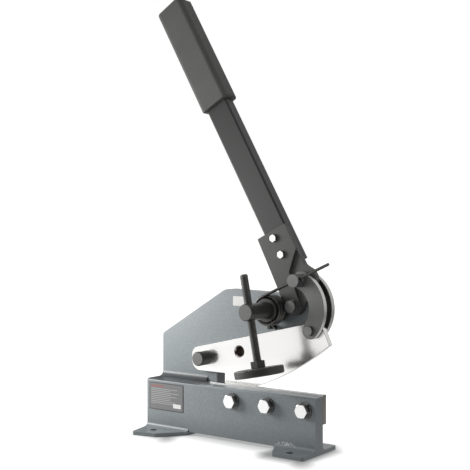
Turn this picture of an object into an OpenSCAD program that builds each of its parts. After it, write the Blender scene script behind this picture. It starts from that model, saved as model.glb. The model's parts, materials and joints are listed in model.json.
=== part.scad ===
// Bench lever shear: a frame with a fixed lower blade, an upper blade on a pivot pin,
// a long lever whose cam plate pushes the blade's end down through two curved links,
// a torsion spring that lifts the lever, and a screw hold-down for the stock.
//
// X runs along the rail from left to right, Y away from the user, Z up.
// The outlines are drawn from the rail's left end, its front face and the floor;
// the finished model's origin is the middle of the four base holes, on the floor.

/* [Frame] */
// Length of the rail that carries the lower blade
rail_l = 310; // [250:1:400]
// Height of the rail's top above the floor
rail_h = 80; // [70:0.5:100]
// Thickness of the rail
rail_t = 20; // [14:0.5:26]
// Radius along the rail's top front edge
rail_edge_r = 3; // [1:0.5:5]
// Length of the shelf that joins the rail to the side plate
shelf_l = 110.5; // [100:0.5:118]
// Thickness of the shelf
shelf_t = 20; // [12:0.5:26]
// Thickness of the side plate
plate_t = 20; // [12:0.5:26]
// Height of the side plate's left edge
plate_left_h = 148.3; // [135:0.1:165]
// Place of the side plate's apex along the rail
apex_x = 127; // [110:0.5:150]
// Height of the side plate's apex
apex_h = 223.5; // [215:0.5:235]
// Radius of the side plate's apex
apex_r = 24; // [8:1:40]
// Radius of the boss round the lever pivot
boss_r = 24; // [18:0.5:26]
// Radius of the fillet between shelf and side plate
plate_fillet_r = 9; // [3:0.5:9]
// Length of that fillet from the left end
plate_fillet_l = 92; // [40:1:100]

/* [Feet] */
// Length of the left foot along the rail
left_foot_l = 84; // [70:1:100]
// Reach of the left foot in front of the rail
left_foot_front = 48; // [36:1:60]
// How far the left foot's outer corner is drawn in from the rail's end
left_foot_slant = 12; // [0:1:16]
// Length of the right foot along the rail
right_foot_l = 67; // [58:1:90]
// Reach of the right foot in front of the rail
right_foot_front = 32; // [30:1:50]
// Length of the feet's front edges, from the rail's ends
foot_edge_l = 51; // [45:1:56]
// Thickness of the feet
foot_t = 5.5; // [4:0.5:12]
// Radius of the feet's corners
foot_corner_r = 4; // [1:0.5:6]
// Radius of the fillet between foot and rail
foot_fillet_r = 6; // [2:0.5:7]
// Diameter of the base holes
base_hole_d = 12; // [8:0.5:14]
// Distance of the left base holes from the rail's left end
base_hole_left = 31.5; // [26:0.5:34]
// Distance between the left and the right base holes
base_hole_pitch = 250; // [190:1:340]
// Distance of the front base holes before the rail's front face
base_hole_front = 20; // [15:0.5:22]
// Distance of the rear base holes behind the rail's front face
base_hole_rear = 40; // [34:0.5:46]

/* [Lower blade] */
// Length of the lower blade
lower_blade_l = 200; // [150:1:240]
// Height of the lower blade
lower_blade_h = 41; // [36:0.5:60]
// Thickness of the lower blade
lower_blade_t = 8; // [5:0.5:12]
// How far the lower blade stands above the rail
lower_blade_proud = 2; // [0.5:0.5:4]
// Distance between the lower blade's bolts
rail_bolt_pitch = 62; // [45:1:70]
// Distance from the last bolt to the rail's right end
rail_bolt_end = 18; // [14:1:30]
// Thread of the lower blade's bolts
rail_bolt_d = 12; // [8:1:12]

/* [Upper blade] */
// Thickness of the upper blade
upper_blade_t = 9.8; // [6:0.1:14]
// Gap between the blades, and between the upper blade and the side plate
shear_gap = 0.1; // [0.05:0.05:0.2]
// Place of the blade pivot along the rail
pivot_x = 95.2; // [85:0.1:105]
// Height of the blade pivot
pivot_z = 116.5; // [114:0.1:125]
// Diameter of the pivot pin's shank
pivot_pin_d = 16; // [12:0.5:20]
// Diameter of the pivot pin's head
pivot_head_d = 22; // [20:0.5:30]
// Length of the pivot pin's head
pivot_head_h = 20; // [8:0.5:26]
// Left end of the upper blade
blade_left_x = 68.3; // [60:0.1:75]
// Height of the blade's heel, left of the throat
heel_z = 96; // [93:0.1:100]
// Left end of the cutting edge
heel_x = 134.6; // [125:0.1:145]
// Height of the blade's top edge above the pivot's upright
blade_top_z = 136.1; // [132:0.1:142]
// Slope of the blade's top edge
blade_top_slope = 13.05; // [8:0.05:18]
// Place of the blade's top right corner
blade_right_x = 311; // [290:0.5:330]
// Place of the cutting edge's right end
tip_x = 315.3; // [300:0.1:330]
// Height of the cutting edge's right end
tip_z = 150.5; // [140:0.1:160]
// Height of the cutting edge at its left end
edge_left_z = 66; // [60:0.5:72]
// Radius of the bowed cutting edge
edge_r = 430; // [300:5:900]
// Place of the bar hole along the rail
bar_x = 159.9; // [150:0.1:170]
// Height of the bar hole
bar_z = 130.7; // [125:0.1:136]
// Diameter of the bar hole
bar_d = 14; // [8:0.5:16]
// Outer diameter of the die bush in the side plate
bar_bush_d = 24; // [20:0.5:30]

/* [Lever] */
// Place of the lever pivot along the rail
lever_x = 258.5; // [250:0.1:270]
// Height of the lever pivot
lever_z = 203; // [198:0.1:210]
// Lean of the lever from upright at rest
lever_lean = 29.3; // [15:0.1:40]
// Diameter of the lever pivot bolt
lever_bolt_d = 10; // [8:0.5:12]
// Outer diameter of the bush in the cam plate
lever_bush_d = 16; // [13:0.5:20]
// Width of the lever tube
tube_w = 40; // [30:1:50]
// Depth of the lever tube
tube_d = 20; // [16:0.5:30]
// Wall of the lever tube
tube_wall = 2.5; // [1.5:0.1:4]
// Radius of the lever tube's corners
tube_corner_r = 3; // [1:0.5:4]
// Distance from the lever pivot to the tube's lower end
tube_start = 56; // [50:1:64]
// Distance from the lever pivot to the tube's upper end
tube_end = 516; // [400:1:700]
// Distance from the lever pivot to the grip's lower end
grip_start = 334; // [250:1:380]
// Wall of the grip
grip_wall = 6.5; // [3:0.5:8]
// Thickness of the grip's closed end
grip_cap = 7; // [3:0.5:12]
// Thickness of the cam plate
cam_t = 9.8; // [6:0.1:14]
// Radius of the cam plate's hub round the lever pivot
cam_hub_r = 13; // [11:0.5:15]
// Radius of the cam plate's lobe round the link pin
cam_lobe_r = 20; // [16:0.5:22]
// Thickness of the cheek plate
cheek_t = 5; // [3:0.5:6]
// Width of the cheek plate over the tube
cheek_w = 52; // [42:0.5:56]
// Distance from the lever pivot to the cheek plate's upper end
cheek_top = 114; // [106:0.5:124]
// Radius of the cheek plate's lower end
cheek_end_r = 13; // [12:0.5:14]
// Distance from the lever pivot to the lower lever bolt
lever_bolt_low = 74; // [68:0.5:80]
// Distance between the two lever bolts
lever_bolt_pitch = 27; // [20:0.5:28]
// Thread of the lever bolts
small_bolt_d = 6; // [5:0.5:8]

/* [Links] */
// Distance from the lever pivot to the link pin
crank_r = 40.8; // [38:0.1:44]
// Angle between the lever and the arm to the link pin
crank_angle = 51.6; // [46:0.1:56]
// Distance from the blade pivot to the link's lower pin
blade_pin_r = 201.9; // [195:0.1:206]
// Angle of the link's lower pin above the blade pivot
blade_pin_angle = 15.5; // [14:0.1:17]
// Thickness of each link
link_t = 9; // [6:0.5:12]
// Width of each link
link_w = 24.4; // [20:0.2:27]
// Radius of the links' bow
link_bow_r = 44.5; // [42:0.5:60]
// Gap on each side between the links and the cam plate
link_gap = 1.5; // [0.5:0.1:3]
// Diameter of the link pin's shank
stud_d = 12; // [10:0.5:14]
// Length of the link pin's hexagon head
stud_head_h = 19; // [15:0.5:22]
// Diameter of the pin in the blade's end
blade_pin_d = 14; // [10:0.5:16]
// Thread of the links' lower screws
link_screw_d = 8; // [6:0.5:10]

/* [Hold-down] */
// Place of the hold-down rod along the rail
rod_x = 225.5; // [223:0.1:226]
// Height of the hold-down rod
rod_z = 197; // [196:0.1:199]
// Diameter of the hold-down rod
rod_d = 24; // [18:0.5:26]
// Reach of the rod before the rail's front face
rod_front = 48; // [40:1:70]
// Outer diameter of the rod's sleeve
sleeve_d = 35; // [32:0.5:36]
// Front end of the sleeve, behind the rail's front face
sleeve_front = 1.8; // [1:0.1:3]
// Distance of the clamp screw behind the rod's front end
screw_set_back = 11; // [9:0.5:20]
// Thread of the clamp screw
screw_d = 12; // [8:0.5:14]
// Lean of the clamp screw from upright
screw_lean = 11.2; // [0:0.1:20]
// Length of the screw above the rod's middle
screw_up = 53.6; // [40:0.1:90]
// Distance from the rod's middle to the pad's top
pad_drop = 78.2; // [60:0.1:90]
// Diameter of the pad
pad_d = 70; // [40:1:74]
// Thickness of the pad
pad_t = 11; // [8:0.5:20]

/* [Spring] */
// Diameter of the spring wire
wire_d = 4; // [3:0.1:4]
// Gap between the spring's turns
wire_gap = 0.45; // [0.42:0.01:0.46]
// Gap between the spring's coil and the sleeve
coil_gap = 0.8; // [0.5:0.1:1]
// Whole turns of the spring between its two legs
spring_turns = 4; // [2:1:4]
// Angle at which the fixed leg leaves the coil
leg_angle = 235; // [225:1:245]
// Length of the fixed leg
leg_l = 20; // [14:0.5:22]
// Length of the long arm beyond the link pin
arm_over = 60; // [20:1:80]
// Diameter of the pin that stops the fixed leg
stop_pin_d = 6; // [4:0.5:6]

/* [Fits] */
// Running clearance on the diameter of a pin in its hole
run_fit = 0.1; // [0.04:0.02:0.16]
// Clearance on the diameter of a bolt in its hole
bolt_fit = 1; // [0.4:0.1:1.2]
// Gap between a moving face and the face beside it
face_gap = 0.2; // [0.1:0.05:0.3]

/* [Hidden] */
$fn = 64;

enamel = [0.50, 0.54, 0.56];
polished = [0.86, 0.86, 0.85];
zinc = [0.80, 0.80, 0.78];
black_steel = [0.20, 0.20, 0.20];
grey_steel = [0.36, 0.36, 0.35];
grip_rubber = [0.30, 0.30, 0.31];

// Planes across the machine, from front to back
shear_y = rail_t + lower_blade_t;
upper_y = shear_y + shear_gap;
plate_y = upper_y + upper_blade_t + shear_gap;
plate_back_y = plate_y + plate_t;
cam_y = plate_y - face_gap - cam_t;
cheek_y = cam_y - cheek_t;
front_link_y = cam_y - link_gap - link_t;
rear_link_y = cam_y + cam_t + link_gap;

// Origin of the finished model
origin = [base_hole_left + base_hole_pitch / 2, (base_hole_rear - base_hole_front) / 2, 0];

// Pivots, seen from the front as [x, z]
lever_pin = [lever_x, lever_z];
blade_pivot = [pivot_x, pivot_z];
crank_dir = 90 + lever_lean - crank_angle;
link_pin = lever_pin + crank_r * [cos(crank_dir), sin(crank_dir)];
blade_pin = blade_pivot + blade_pin_r * [cos(blade_pin_angle), sin(blade_pin_angle)];
rod_axis = [rod_x, rod_z];

// Proportions of hexagon bolts, nuts and washers, from the thread's diameter
function hex_w(d) = d <= 6 ? 10 : d <= 8 ? 13 : d <= 10 ? 17 : d <= 12 ? 18 : 24;
function head_h(d) = 0.64 * d;
function nut_h(d) = 0.84 * d;
washer_t = 2;
// How far a thread stands out of its nut, and how far a cutter passes the faces it cuts
thread_out = 3;
short_thread_out = 1.5;
over = 1;
edge_chamfer = 1.2;

// Point at an angle and a distance from the origin
function polar(a, r) = r * [cos(a), sin(a)];
function unit(v) = v / norm(v);

// Arc of points round a corner p1 between its neighbours p0 and p2
arc_steps = 8;
function corner(p0, p1, p2, r) =
    let(a = unit(p0 - p1), b = unit(p2 - p1), half = acos(a * b) / 2,
        reach = r / tan(half), c = p1 + unit(a + b) * r / sin(half),
        v0 = p1 + a * reach - c, v1 = p1 + b * reach - c,
        a0 = atan2(v0.y, v0.x), turn = atan2(v0.x * v1.y - v0.y * v1.x, v0 * v1))
    [for (i = [0 : arc_steps]) c + polar(a0 + turn * i / arc_steps, r)];

// Outline through corners given as [x, y, radius]
function rounded(pts) =
    let(n = len(pts), xy = [for (p = pts) [p.x, p.y]])
    [for (i = [0 : n - 1])
        each pts[i].z == 0 ? [xy[i]] : corner(xy[(i + n - 1) % n], xy[i], xy[(i + 1) % n], pts[i].z)];

// A front-view outline as a plate from y0, t thick
module slab(y0, t) {
    translate([0, y0 + t, 0]) rotate([90, 0, 0]) linear_extrude(t) children();
}

// A cylinder along Y round the front-view point p, from y0 to y1
module rod_y(p, d, y0, y1) {
    translate([p.x, y1, p.y]) rotate([90, 0, 0]) cylinder(d = d, h = y1 - y0);
}

// A cylinder along Y whose front end is chamfered
module chamfered_rod_y(p, d, y0, y1, c) {
    translate([p.x, y1, p.y]) rotate([90, 0, 0])
        rotate_extrude()
            polygon([[0, 0], [d / 2, 0], [d / 2, y1 - y0 - c], [d / 2 - c, y1 - y0], [0, y1 - y0]]);
}

// A hexagon prism with turned-down corners, across flats w, along Z
module hexagon(w, h, both_ends = false) {
    corner_d = w / cos(30);
    turn_h = (corner_d - w) / 2 * tan(30);
    intersection() {
        cylinder(d = corner_d, h = h, $fn = 6);
        rotate_extrude()
            polygon([[0, 0], [both_ends ? w / 2 : corner_d / 2, 0],
                [corner_d / 2, both_ends ? turn_h : 0], [corner_d / 2, h - turn_h],
                [w / 2, h], [0, h]]);
    }
}

// Hexagon along Y round p: its turned end looks to the front, its flat end lies at y1
module hexagon_y(p, w, h, y1, both_ends = false) {
    translate([p.x, y1, p.y]) rotate([90, 0, 0]) hexagon(w, h, both_ends);
}

// Bolt along Y round p, with its head seated at y0 and its shank's end at y1
module bolt_y(p, d, y0, y1) {
    hexagon_y(p, hex_w(d), head_h(d), y0);
    rod_y(p, d, y0, y1);
}

// Nut along Y round p from y0, on a thread of diameter d
module nut_y(p, d, y0) {
    difference() {
        translate([p.x, y0, p.y]) rotate([-90, 0, 0]) hexagon(hex_w(d), nut_h(d));
        rod_y(p, d + run_fit, y0 - over, y0 + nut_h(d) + over);
    }
}

// Ring along Y round p
module ring_y(p, outer, inner, y0, y1) {
    difference() {
        rod_y(p, outer, y0, y1);
        rod_y(p, inner, y0 - over, y1 + over);
    }
}

// What the lever carries is drawn upright, with X to its right and Z along it
module on_lever() {
    translate([lever_pin.x, 0, lever_pin.y]) rotate([0, -lever_lean, 0]) children();
}

// What hangs on the clamp screw is drawn along Z from the rod's middle
module on_screw() {
    translate([rod_axis.x, screw_set_back - rod_front, rod_axis.y]) rotate([0, -screw_lean, 0]) children();
}

// The finished model is moved to its origin
module placed() { translate(-origin) children(); }

// The frame: rail, shelf, side plate and two feet in one casting
lower_blade_x = shelf_l + shear_gap;
lower_blade_top = rail_h + lower_blade_proud;
rail_bolt_z = lower_blade_top - lower_blade_h / 2;
rail_bolt_x = [for (i = [2 : -1 : 0]) rail_l - rail_bolt_end - i * rail_bolt_pitch];
base_holes = [for (x = [0, base_hole_pitch], y = [-base_hole_front, base_hole_rear])
    [base_hole_left + x, y]];
left_foot_rise = 0.75 * left_foot_slant;

module concave_fillet(r, l) {
    rotate([90, 0, 90]) linear_extrude(l) difference() {
        square(r);
        translate([r, r]) circle(r);
    }
}

module rail_bar() {
    rotate([90, 0, 90]) linear_extrude(rail_l)
        polygon(rounded([[0, foot_t, 0], [rail_t, foot_t, 0],
            [rail_t, rail_h, 0], [0, rail_h, rail_edge_r]]));
}

// A foot, drawn from the rail's end: its front edge runs from slant to foot_edge_l and falls back by rise
module foot_plate(l, front, slant, rise) {
    back = plate_back_y;
    linear_extrude(foot_t)
        polygon(rounded([[0, 0, 0], [slant, -front, foot_corner_r],
            [foot_edge_l, rise - front, foot_corner_r], [l, 0, 0],
            [l, rail_t, 0], [foot_edge_l, back, foot_corner_r], [0, back, foot_corner_r]]));
    translate([0, 0, foot_t]) mirror([0, 1, 0]) concave_fillet(foot_fillet_r, l);
    translate([0, rail_t, foot_t]) concave_fillet(foot_fillet_r, l);
}

module feet() {
    foot_plate(left_foot_l, left_foot_front, left_foot_slant, left_foot_rise);
    translate([rail_l, 0, 0]) mirror([1, 0, 0]) foot_plate(right_foot_l, right_foot_front, 0, 0);
}

// Side plate: straight left edge, long slope to a round apex, boss at the lever pivot,
// and an undercut that leaves the throat free behind the upper blade.
// The undercut starts from the shelf's end and the heel; the nose is drawn from the boss.
undercut_step = 3;
undercut_start = [26, 16];
undercut_end = [-4, -28];
nose_low = [9, -16];
nose_side = [-2, -10];
nose_top = [6, -8];
plate_corner_r = 6;
module side_plate() {
    slab(plate_y, plate_t)
        polygon(rounded([
            [0, rail_h - shelf_t, 0], [shelf_l, rail_h - shelf_t, 0],
            [shelf_l, heel_z + undercut_step, plate_corner_r - 1],
            [shelf_l + undercut_start.x, heel_z + undercut_start.y, 2 * plate_corner_r],
            [lever_x + undercut_end.x, lever_z - boss_r + undercut_end.y, 2 * plate_corner_r],
            [lever_x + nose_low.x, lever_z - boss_r + nose_low.y, plate_corner_r],
            [lever_x + boss_r + nose_side.x, lever_z + nose_side.y, plate_corner_r - 2],
            [lever_x + nose_top.x, lever_z + boss_r + nose_top.y, plate_corner_r],
            [apex_x, apex_h, apex_r],
            [0, plate_left_h, plate_corner_r]]));
    rod_y(lever_pin, 2 * boss_r, plate_y, plate_back_y);
}

module frame_casting() {
    color(enamel) placed() difference() {
        union() {
            rail_bar();
            translate([0, rail_t, rail_h - shelf_t]) cube([shelf_l, plate_y - rail_t, shelf_t]);
            side_plate();
            translate([0, plate_y, rail_h]) mirror([0, 1, 0])
                concave_fillet(plate_fillet_r, plate_fillet_l);
            translate([0, rail_t, rail_h - shelf_t]) mirror([0, 0, 1])
                concave_fillet(foot_fillet_r, shelf_l);
            feet();
        }
        for (h = base_holes) translate([h.x, h.y, -over]) cylinder(d = base_hole_d, h = foot_t + 2 * over);
        for (x = rail_bolt_x) rod_y([x, rail_bolt_z], rail_bolt_d + bolt_fit, -over, rail_t + over);
        rod_y(blade_pivot, pivot_pin_d + run_fit, plate_y - over, plate_back_y + over);
        rod_y([bar_x, bar_z], bar_bush_d + run_fit, plate_y - over, plate_back_y + over);
        rod_y(lever_pin, lever_bolt_d + bolt_fit, plate_y - over, plate_back_y + over);
        rod_y(rod_axis, spigot_d + run_fit, plate_y - over, plate_back_y + over);
        rod_y(stop_pin, stop_pin_d + run_fit, plate_y - over, plate_y + stop_pin_depth);
    }
}

// Lower blade: a flat bar bolted to the rail's rear face
module lower_blade() {
    color(polished) placed() difference() {
        translate([lower_blade_x, rail_t, lower_blade_top - lower_blade_h])
            cube([lower_blade_l, lower_blade_t, lower_blade_h]);
        for (x = rail_bolt_x) rod_y([x, rail_bolt_z], rail_bolt_d + run_fit, rail_t - over, shear_y + over);
    }
}

rail_washer_t = 2.5;
rail_bolt_short = 0.5;
module lower_blade_bolts() {
    color(zinc) placed() for (x = rail_bolt_x)
        bolt_y([x, rail_bolt_z], rail_bolt_d, -rail_washer_t, shear_y - rail_bolt_short);
}

module lower_blade_washers() {
    color(zinc) placed() for (x = rail_bolt_x)
        ring_y([x, rail_bolt_z], 2 * rail_bolt_d, rail_bolt_d + bolt_fit, -rail_washer_t, 0);
}

// Upper blade: a nose round the pivot, a heel over the shelf, and a bowed cutting edge
blade_rise = tan(blade_top_slope);
function blade_top(x) = blade_top_z + (x - pivot_x) * blade_rise;
edge_chord = [tip_x - heel_x, tip_z - edge_left_z];
edge_half = asin(norm(edge_chord) / 2 / edge_r);
edge_mid_dir = atan2(edge_chord.y, edge_chord.x) + 90;
edge_centre = [heel_x, edge_left_z] + edge_chord / 2 + polar(edge_mid_dir, edge_r * cos(edge_half));
edge_steps = 20;
bar_flare = 2.2;
blade_left_r = 13;
heel_r = 16;
blade_corner_r = 2;
heel_corner_r = 1.5;

module blade_outline() {
    polygon(concat(
        rounded([[blade_right_x, blade_top(blade_right_x), blade_corner_r],
            [blade_left_x, blade_top(blade_left_x), blade_left_r], [blade_left_x, heel_z, heel_r],
            [heel_x, heel_z, heel_corner_r], [heel_x, edge_left_z, 0]]),
        [for (i = [1 : edge_steps])
            edge_centre + polar(edge_mid_dir + 180 - edge_half + 2 * edge_half * i / edge_steps, edge_r)]));
}

module upper_blade() {
    color(polished) placed() difference() {
        slab(upper_y, upper_blade_t) blade_outline();
        rod_y(blade_pivot, pivot_pin_d + run_fit, upper_y - over, plate_y + over);
        rod_y([bar_x, bar_z], bar_d, upper_y - over, plate_y + over);
        translate([bar_x, upper_y, bar_z]) rotate([90, 0, 0]) translate([0, 0, -bar_flare])
            cylinder(d1 = bar_d, d2 = bar_d + 4 * bar_flare, h = 2 * bar_flare);
        rod_y(blade_pin, blade_pin_d + run_fit, upper_y - over, plate_y + over);
    }
}

// Pivot pin: a thick turned head in front, and a nut behind the side plate
rear_washer_t = 3;
rear_washer_d = 30;
module blade_pivot_pin() {
    color(black_steel) placed() {
        chamfered_rod_y(blade_pivot, pivot_head_d, shear_y - pivot_head_h, shear_y, edge_chamfer);
        rod_y(blade_pivot, pivot_pin_d, shear_y,
            plate_back_y + rear_washer_t + nut_h(pivot_pin_d) + thread_out);
    }
}

module blade_pivot_washer() {
    color(zinc) placed()
        ring_y(blade_pivot, rear_washer_d, pivot_pin_d + bolt_fit,
            plate_back_y, plate_back_y + rear_washer_t);
}

module blade_pivot_nut() {
    color(zinc) placed() nut_y(blade_pivot, pivot_pin_d, plate_back_y + rear_washer_t);
}

module bar_die_bush() {
    color(polished) placed() ring_y([bar_x, bar_z], bar_bush_d, bar_d, plate_y, plate_back_y);
}

// Links: two bowed bars, in front of and behind the cam plate and the blade
link_mid = (link_pin + blade_pin) / 2;
link_half = norm(link_pin - blade_pin) / 2;
link_dir = atan2(link_pin.y - blade_pin.y, link_pin.x - blade_pin.x);
bow_centre = link_mid + polar(link_dir + 90, sqrt(link_bow_r ^ 2 - link_half ^ 2));
bow_top = atan2(link_pin.y - bow_centre.y, link_pin.x - bow_centre.x);
bow_low = atan2(blade_pin.y - bow_centre.y, blade_pin.x - bow_centre.x);
bow_steps = 24;

module link_outline() {
    r_out = link_bow_r + link_w / 2;
    r_in = link_bow_r - link_w / 2;
    angles = [for (i = [0 : bow_steps]) bow_low + (bow_top - bow_low) * i / bow_steps];
    polygon(concat(
        [for (a = angles) bow_centre + polar(a, r_out)],
        [for (i = [bow_steps : -1 : 0]) bow_centre + polar(angles[i], r_in)]));
    translate(link_pin) circle(d = link_w);
    translate(blade_pin) circle(d = link_w);
}

module link(y0) {
    color(grey_steel) placed() difference() {
        slab(y0, link_t) link_outline();
        rod_y(link_pin, stud_d + run_fit, y0 - over, y0 + link_t + over);
        rod_y(blade_pin, link_screw_d + run_fit, y0 - over, y0 + link_t + over);
    }
}

module front_link() { link(front_link_y); }
module rear_link() { link(rear_link_y); }

// Pin in the blade's end, as long as the space between the links
module blade_link_pin() {
    color(black_steel) placed()
        rod_y(blade_pin, blade_pin_d, front_link_y + link_t + face_gap, rear_link_y - face_gap);
}

// The two screws that hold the links to that pin, one from each side
module link_screws() {
    color(grey_steel) placed() {
        bolt_y(blade_pin, link_screw_d, front_link_y, front_link_y + link_t);
        translate([0, front_link_y + rear_link_y + link_t, 0]) mirror([0, 1, 0])
            bolt_y(blade_pin, link_screw_d, front_link_y, front_link_y + link_t);
    }
}

spacer_wall = 4.5;
module link_spacers() {
    color(zinc) placed() for (y = [cam_y - link_gap, cam_y + cam_t])
        ring_y(link_pin, stud_d + 2 * spacer_wall, stud_d + bolt_fit,
            y + face_gap / 2, y + link_gap - face_gap / 2);
}

// Link pin: a long hexagon head, slotted across for the spring's arm, and a shank with a nut
arm_clear = 0.5;
arm_play = 6;
module link_stud() {
    head_y = front_link_y - face_gap;
    color(grey_steel) placed() {
        difference() {
            hexagon_y(link_pin, hex_w(stud_d), stud_head_h, head_y, true);
            translate([link_pin.x, arm_y, link_pin.y]) rotate([0, -arm_dir, 0])
                arm_slot(2 * hex_w(stud_d));
        }
        rod_y(link_pin, stud_d, head_y, rear_link_y + link_t + face_gap + nut_h(stud_d) + short_thread_out);
    }
}

// Slot along X, as deep as the wire, open downwards for the play of the arm
module arm_slot(l) {
    w = wire_d + arm_clear;
    for (z = [0, -arm_play / 2])
        translate([-l / 2, 0, z]) rotate([0, 90, 0]) cylinder(d = w, h = l, $fn = 32);
    translate([-l / 2, -w / 2, -arm_play / 2]) cube([l, w, arm_play / 2]);
}

module link_stud_nut() {
    color(zinc) placed() nut_y(link_pin, stud_d, rear_link_y + link_t + face_gap);
}

// Lever: places across the lever are measured from its pivot to the right
tube_left = 3.3;
tube_y = cam_y;
tube_mid = tube_left + tube_w / 2;
lap_under = 5;
lap_top = cheek_top - lap_under;
lever_bolt_left = 4;
lever_bolt_at = [for (i = [0, 1]) [tube_mid - lever_bolt_left, lever_bolt_low + i * lever_bolt_pitch]];
crank_at = crank_r * [sin(crank_angle), cos(crank_angle)];
hub_taper = asin((cam_lobe_r - cam_hub_r) / crank_r);

function box_corners(x0, y0, w, d, r) =
    rounded([[x0, y0, r], [x0 + w, y0, r], [x0 + w, y0 + d, r], [x0, y0 + d, r]]);

// Tube: its lower end is cut away in front, where the cam plate lies in it
tube_inner_r = 0.5;
module lever_tube() {
    inner_r = max(tube_corner_r - tube_wall, tube_inner_r);
    color(grey_steel) placed() on_lever() difference() {
        translate([0, 0, tube_start]) linear_extrude(tube_end - tube_start) difference() {
            polygon(box_corners(tube_left, tube_y, tube_w, tube_d, tube_corner_r));
            polygon(box_corners(tube_left + tube_wall, tube_y + tube_wall,
                tube_w - 2 * tube_wall, tube_d - 2 * tube_wall, inner_r));
        }
        translate([tube_left - over, tube_y - over, tube_start - over])
            cube([tube_w + 2 * over, cam_t + over, lap_top - tube_start + over]);
        for (p = lever_bolt_at) rod_y(p, small_bolt_d + bolt_fit, tube_y - over, tube_y + tube_d + over);
    }
}

// Grip: a rubber sleeve with a closed, rounded end
grip_end = tube_end + grip_cap;
grip_corner_r = 8;
grip_low_r = 4;
grip_top_r = 6.5;
module lever_grip() {
    w = tube_w + 2 * grip_wall;
    d = tube_d + 2 * grip_wall;
    color(grip_rubber) placed() on_lever() difference() {
        intersection() {
            translate([0, 0, grip_start]) linear_extrude(grip_end - grip_start)
                polygon(box_corners(tube_left - grip_wall, tube_y - grip_wall, w, d, grip_corner_r));
            slab(tube_y - grip_wall, d)
                polygon(rounded([[tube_left - grip_wall, grip_start, grip_low_r],
                    [tube_left - grip_wall + w, grip_start, grip_low_r],
                    [tube_left - grip_wall + w, grip_end, grip_top_r],
                    [tube_left - grip_wall, grip_end, grip_top_r]]));
        }
        translate([0, 0, grip_start - over]) linear_extrude(tube_end - grip_start + over)
            polygon(box_corners(tube_left, tube_y, tube_w, tube_d, tube_corner_r));
    }
}

// Cam plate: a hub at the lever pivot, a lobe for the link pin, and a tongue in the tube's lap
hub_lap = 0.6;
cam_corner_r = 8;
module cam_plate() {
    tube_right = tube_left + tube_w;
    low_dir = -crank_angle - hub_taper;
    lobe_side = crank_at + polar(crank_angle / 2, cam_lobe_r - hub_lap);
    lobe_low = crank_at + polar(low_dir, cam_lobe_r - hub_lap);
    hub_low = polar(low_dir, cam_hub_r - hub_lap);
    color(grey_steel) placed() on_lever() difference() {
        union() {
            slab(cam_y, cam_t) polygon(rounded([
                [tube_left, lap_top, 0], [tube_right, lap_top, 0],
                [tube_right, crank_at.y + cam_lobe_r, cam_corner_r], [lobe_side.x, lobe_side.y, 0],
                [crank_at.x, crank_at.y, 0], [lobe_low.x, lobe_low.y, 0], [hub_low.x, hub_low.y, 0],
                [hub_lap - cam_hub_r, 0, 0]]));
            rod_y(crank_at, 2 * cam_lobe_r, cam_y, cam_y + cam_t);
            rod_y([0, 0], 2 * cam_hub_r, cam_y, cam_y + cam_t);
        }
        rod_y([0, 0], lever_bush_d, cam_y - over, plate_y + over);
        rod_y(crank_at, stud_d + run_fit, cam_y - over, plate_y + over);
        for (p = lever_bolt_at) rod_y(p, small_bolt_d + bolt_fit, cam_y - over, plate_y + over);
    }
}

// Cheek plate: wide over the tube, chamfered on its right, narrow down to the lever pivot
cheek_right = 22;
cheek_top_fall = 3;
cheek_neck = 18;
cheek_shoulder = 14.5;
cheek_corner_r = 1.5;
cheek_neck_r = 6;
module cheek_plate() {
    right = tube_mid + cheek_right;
    left = right - cheek_w;
    color(grey_steel) placed() on_lever() difference() {
        union() {
            slab(cheek_y, cheek_t) polygon(rounded([
                [left, cheek_top, cheek_corner_r], [right, cheek_top - cheek_top_fall, cheek_corner_r],
                [right, tube_start + cheek_shoulder, cheek_corner_r],
                [cheek_neck, tube_start - tube_w / 4, cheek_neck_r],
                [cheek_end_r - hub_lap, 0, 0], [hub_lap - cheek_end_r, 0, 0]]));
            rod_y([0, 0], 2 * cheek_end_r, cheek_y, cam_y);
        }
        rod_y([0, 0], lever_bolt_d + run_fit, cheek_y - over, cam_y + over);
        for (p = lever_bolt_at) rod_y(p, small_bolt_d + bolt_fit, cheek_y - over, cam_y + over);
    }
}

module lever_bolts() {
    color(zinc) placed() on_lever() for (p = lever_bolt_at)
        bolt_y(p, small_bolt_d, cheek_y, tube_y + tube_d + nut_h(small_bolt_d) + short_thread_out);
}

module lever_nuts() {
    color(zinc) placed() on_lever() for (p = lever_bolt_at)
        nut_y(p, small_bolt_d, tube_y + tube_d);
}

module lever_bush() {
    color(polished) placed() ring_y(lever_pin, lever_bush_d, lever_bolt_d + run_fit, cam_y, cam_y + cam_t);
}

module lever_pivot_bolt() {
    color(grey_steel) placed()
        bolt_y(lever_pin, lever_bolt_d, cheek_y - face_gap - washer_t,
            plate_back_y + washer_t + nut_h(lever_bolt_d) + short_thread_out);
}

module lever_pivot_washers() {
    color(grey_steel) placed() for (y = [cheek_y - face_gap - washer_t, plate_back_y])
        ring_y(lever_pin, 2 * lever_bolt_d, lever_bolt_d + bolt_fit / 2, y, y + washer_t);
}

module lever_pivot_nut() {
    color(zinc) placed() nut_y(lever_pin, lever_bolt_d, plate_back_y + washer_t);
}

// Hold-down: a sleeve in the side plate, a rod that turns in it, and a screw with a pad
spigot_step = 3;
spigot_d = sleeve_d - 2 * spigot_step;
module hold_down_sleeve() {
    color(black_steel) placed() difference() {
        union() {
            chamfered_rod_y(rod_axis, sleeve_d, sleeve_front, plate_y, edge_chamfer);
            rod_y(rod_axis, spigot_d, plate_y, plate_back_y);
        }
        rod_y(rod_axis, rod_d + run_fit, sleeve_front - over, plate_back_y + over);
    }
}

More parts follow.
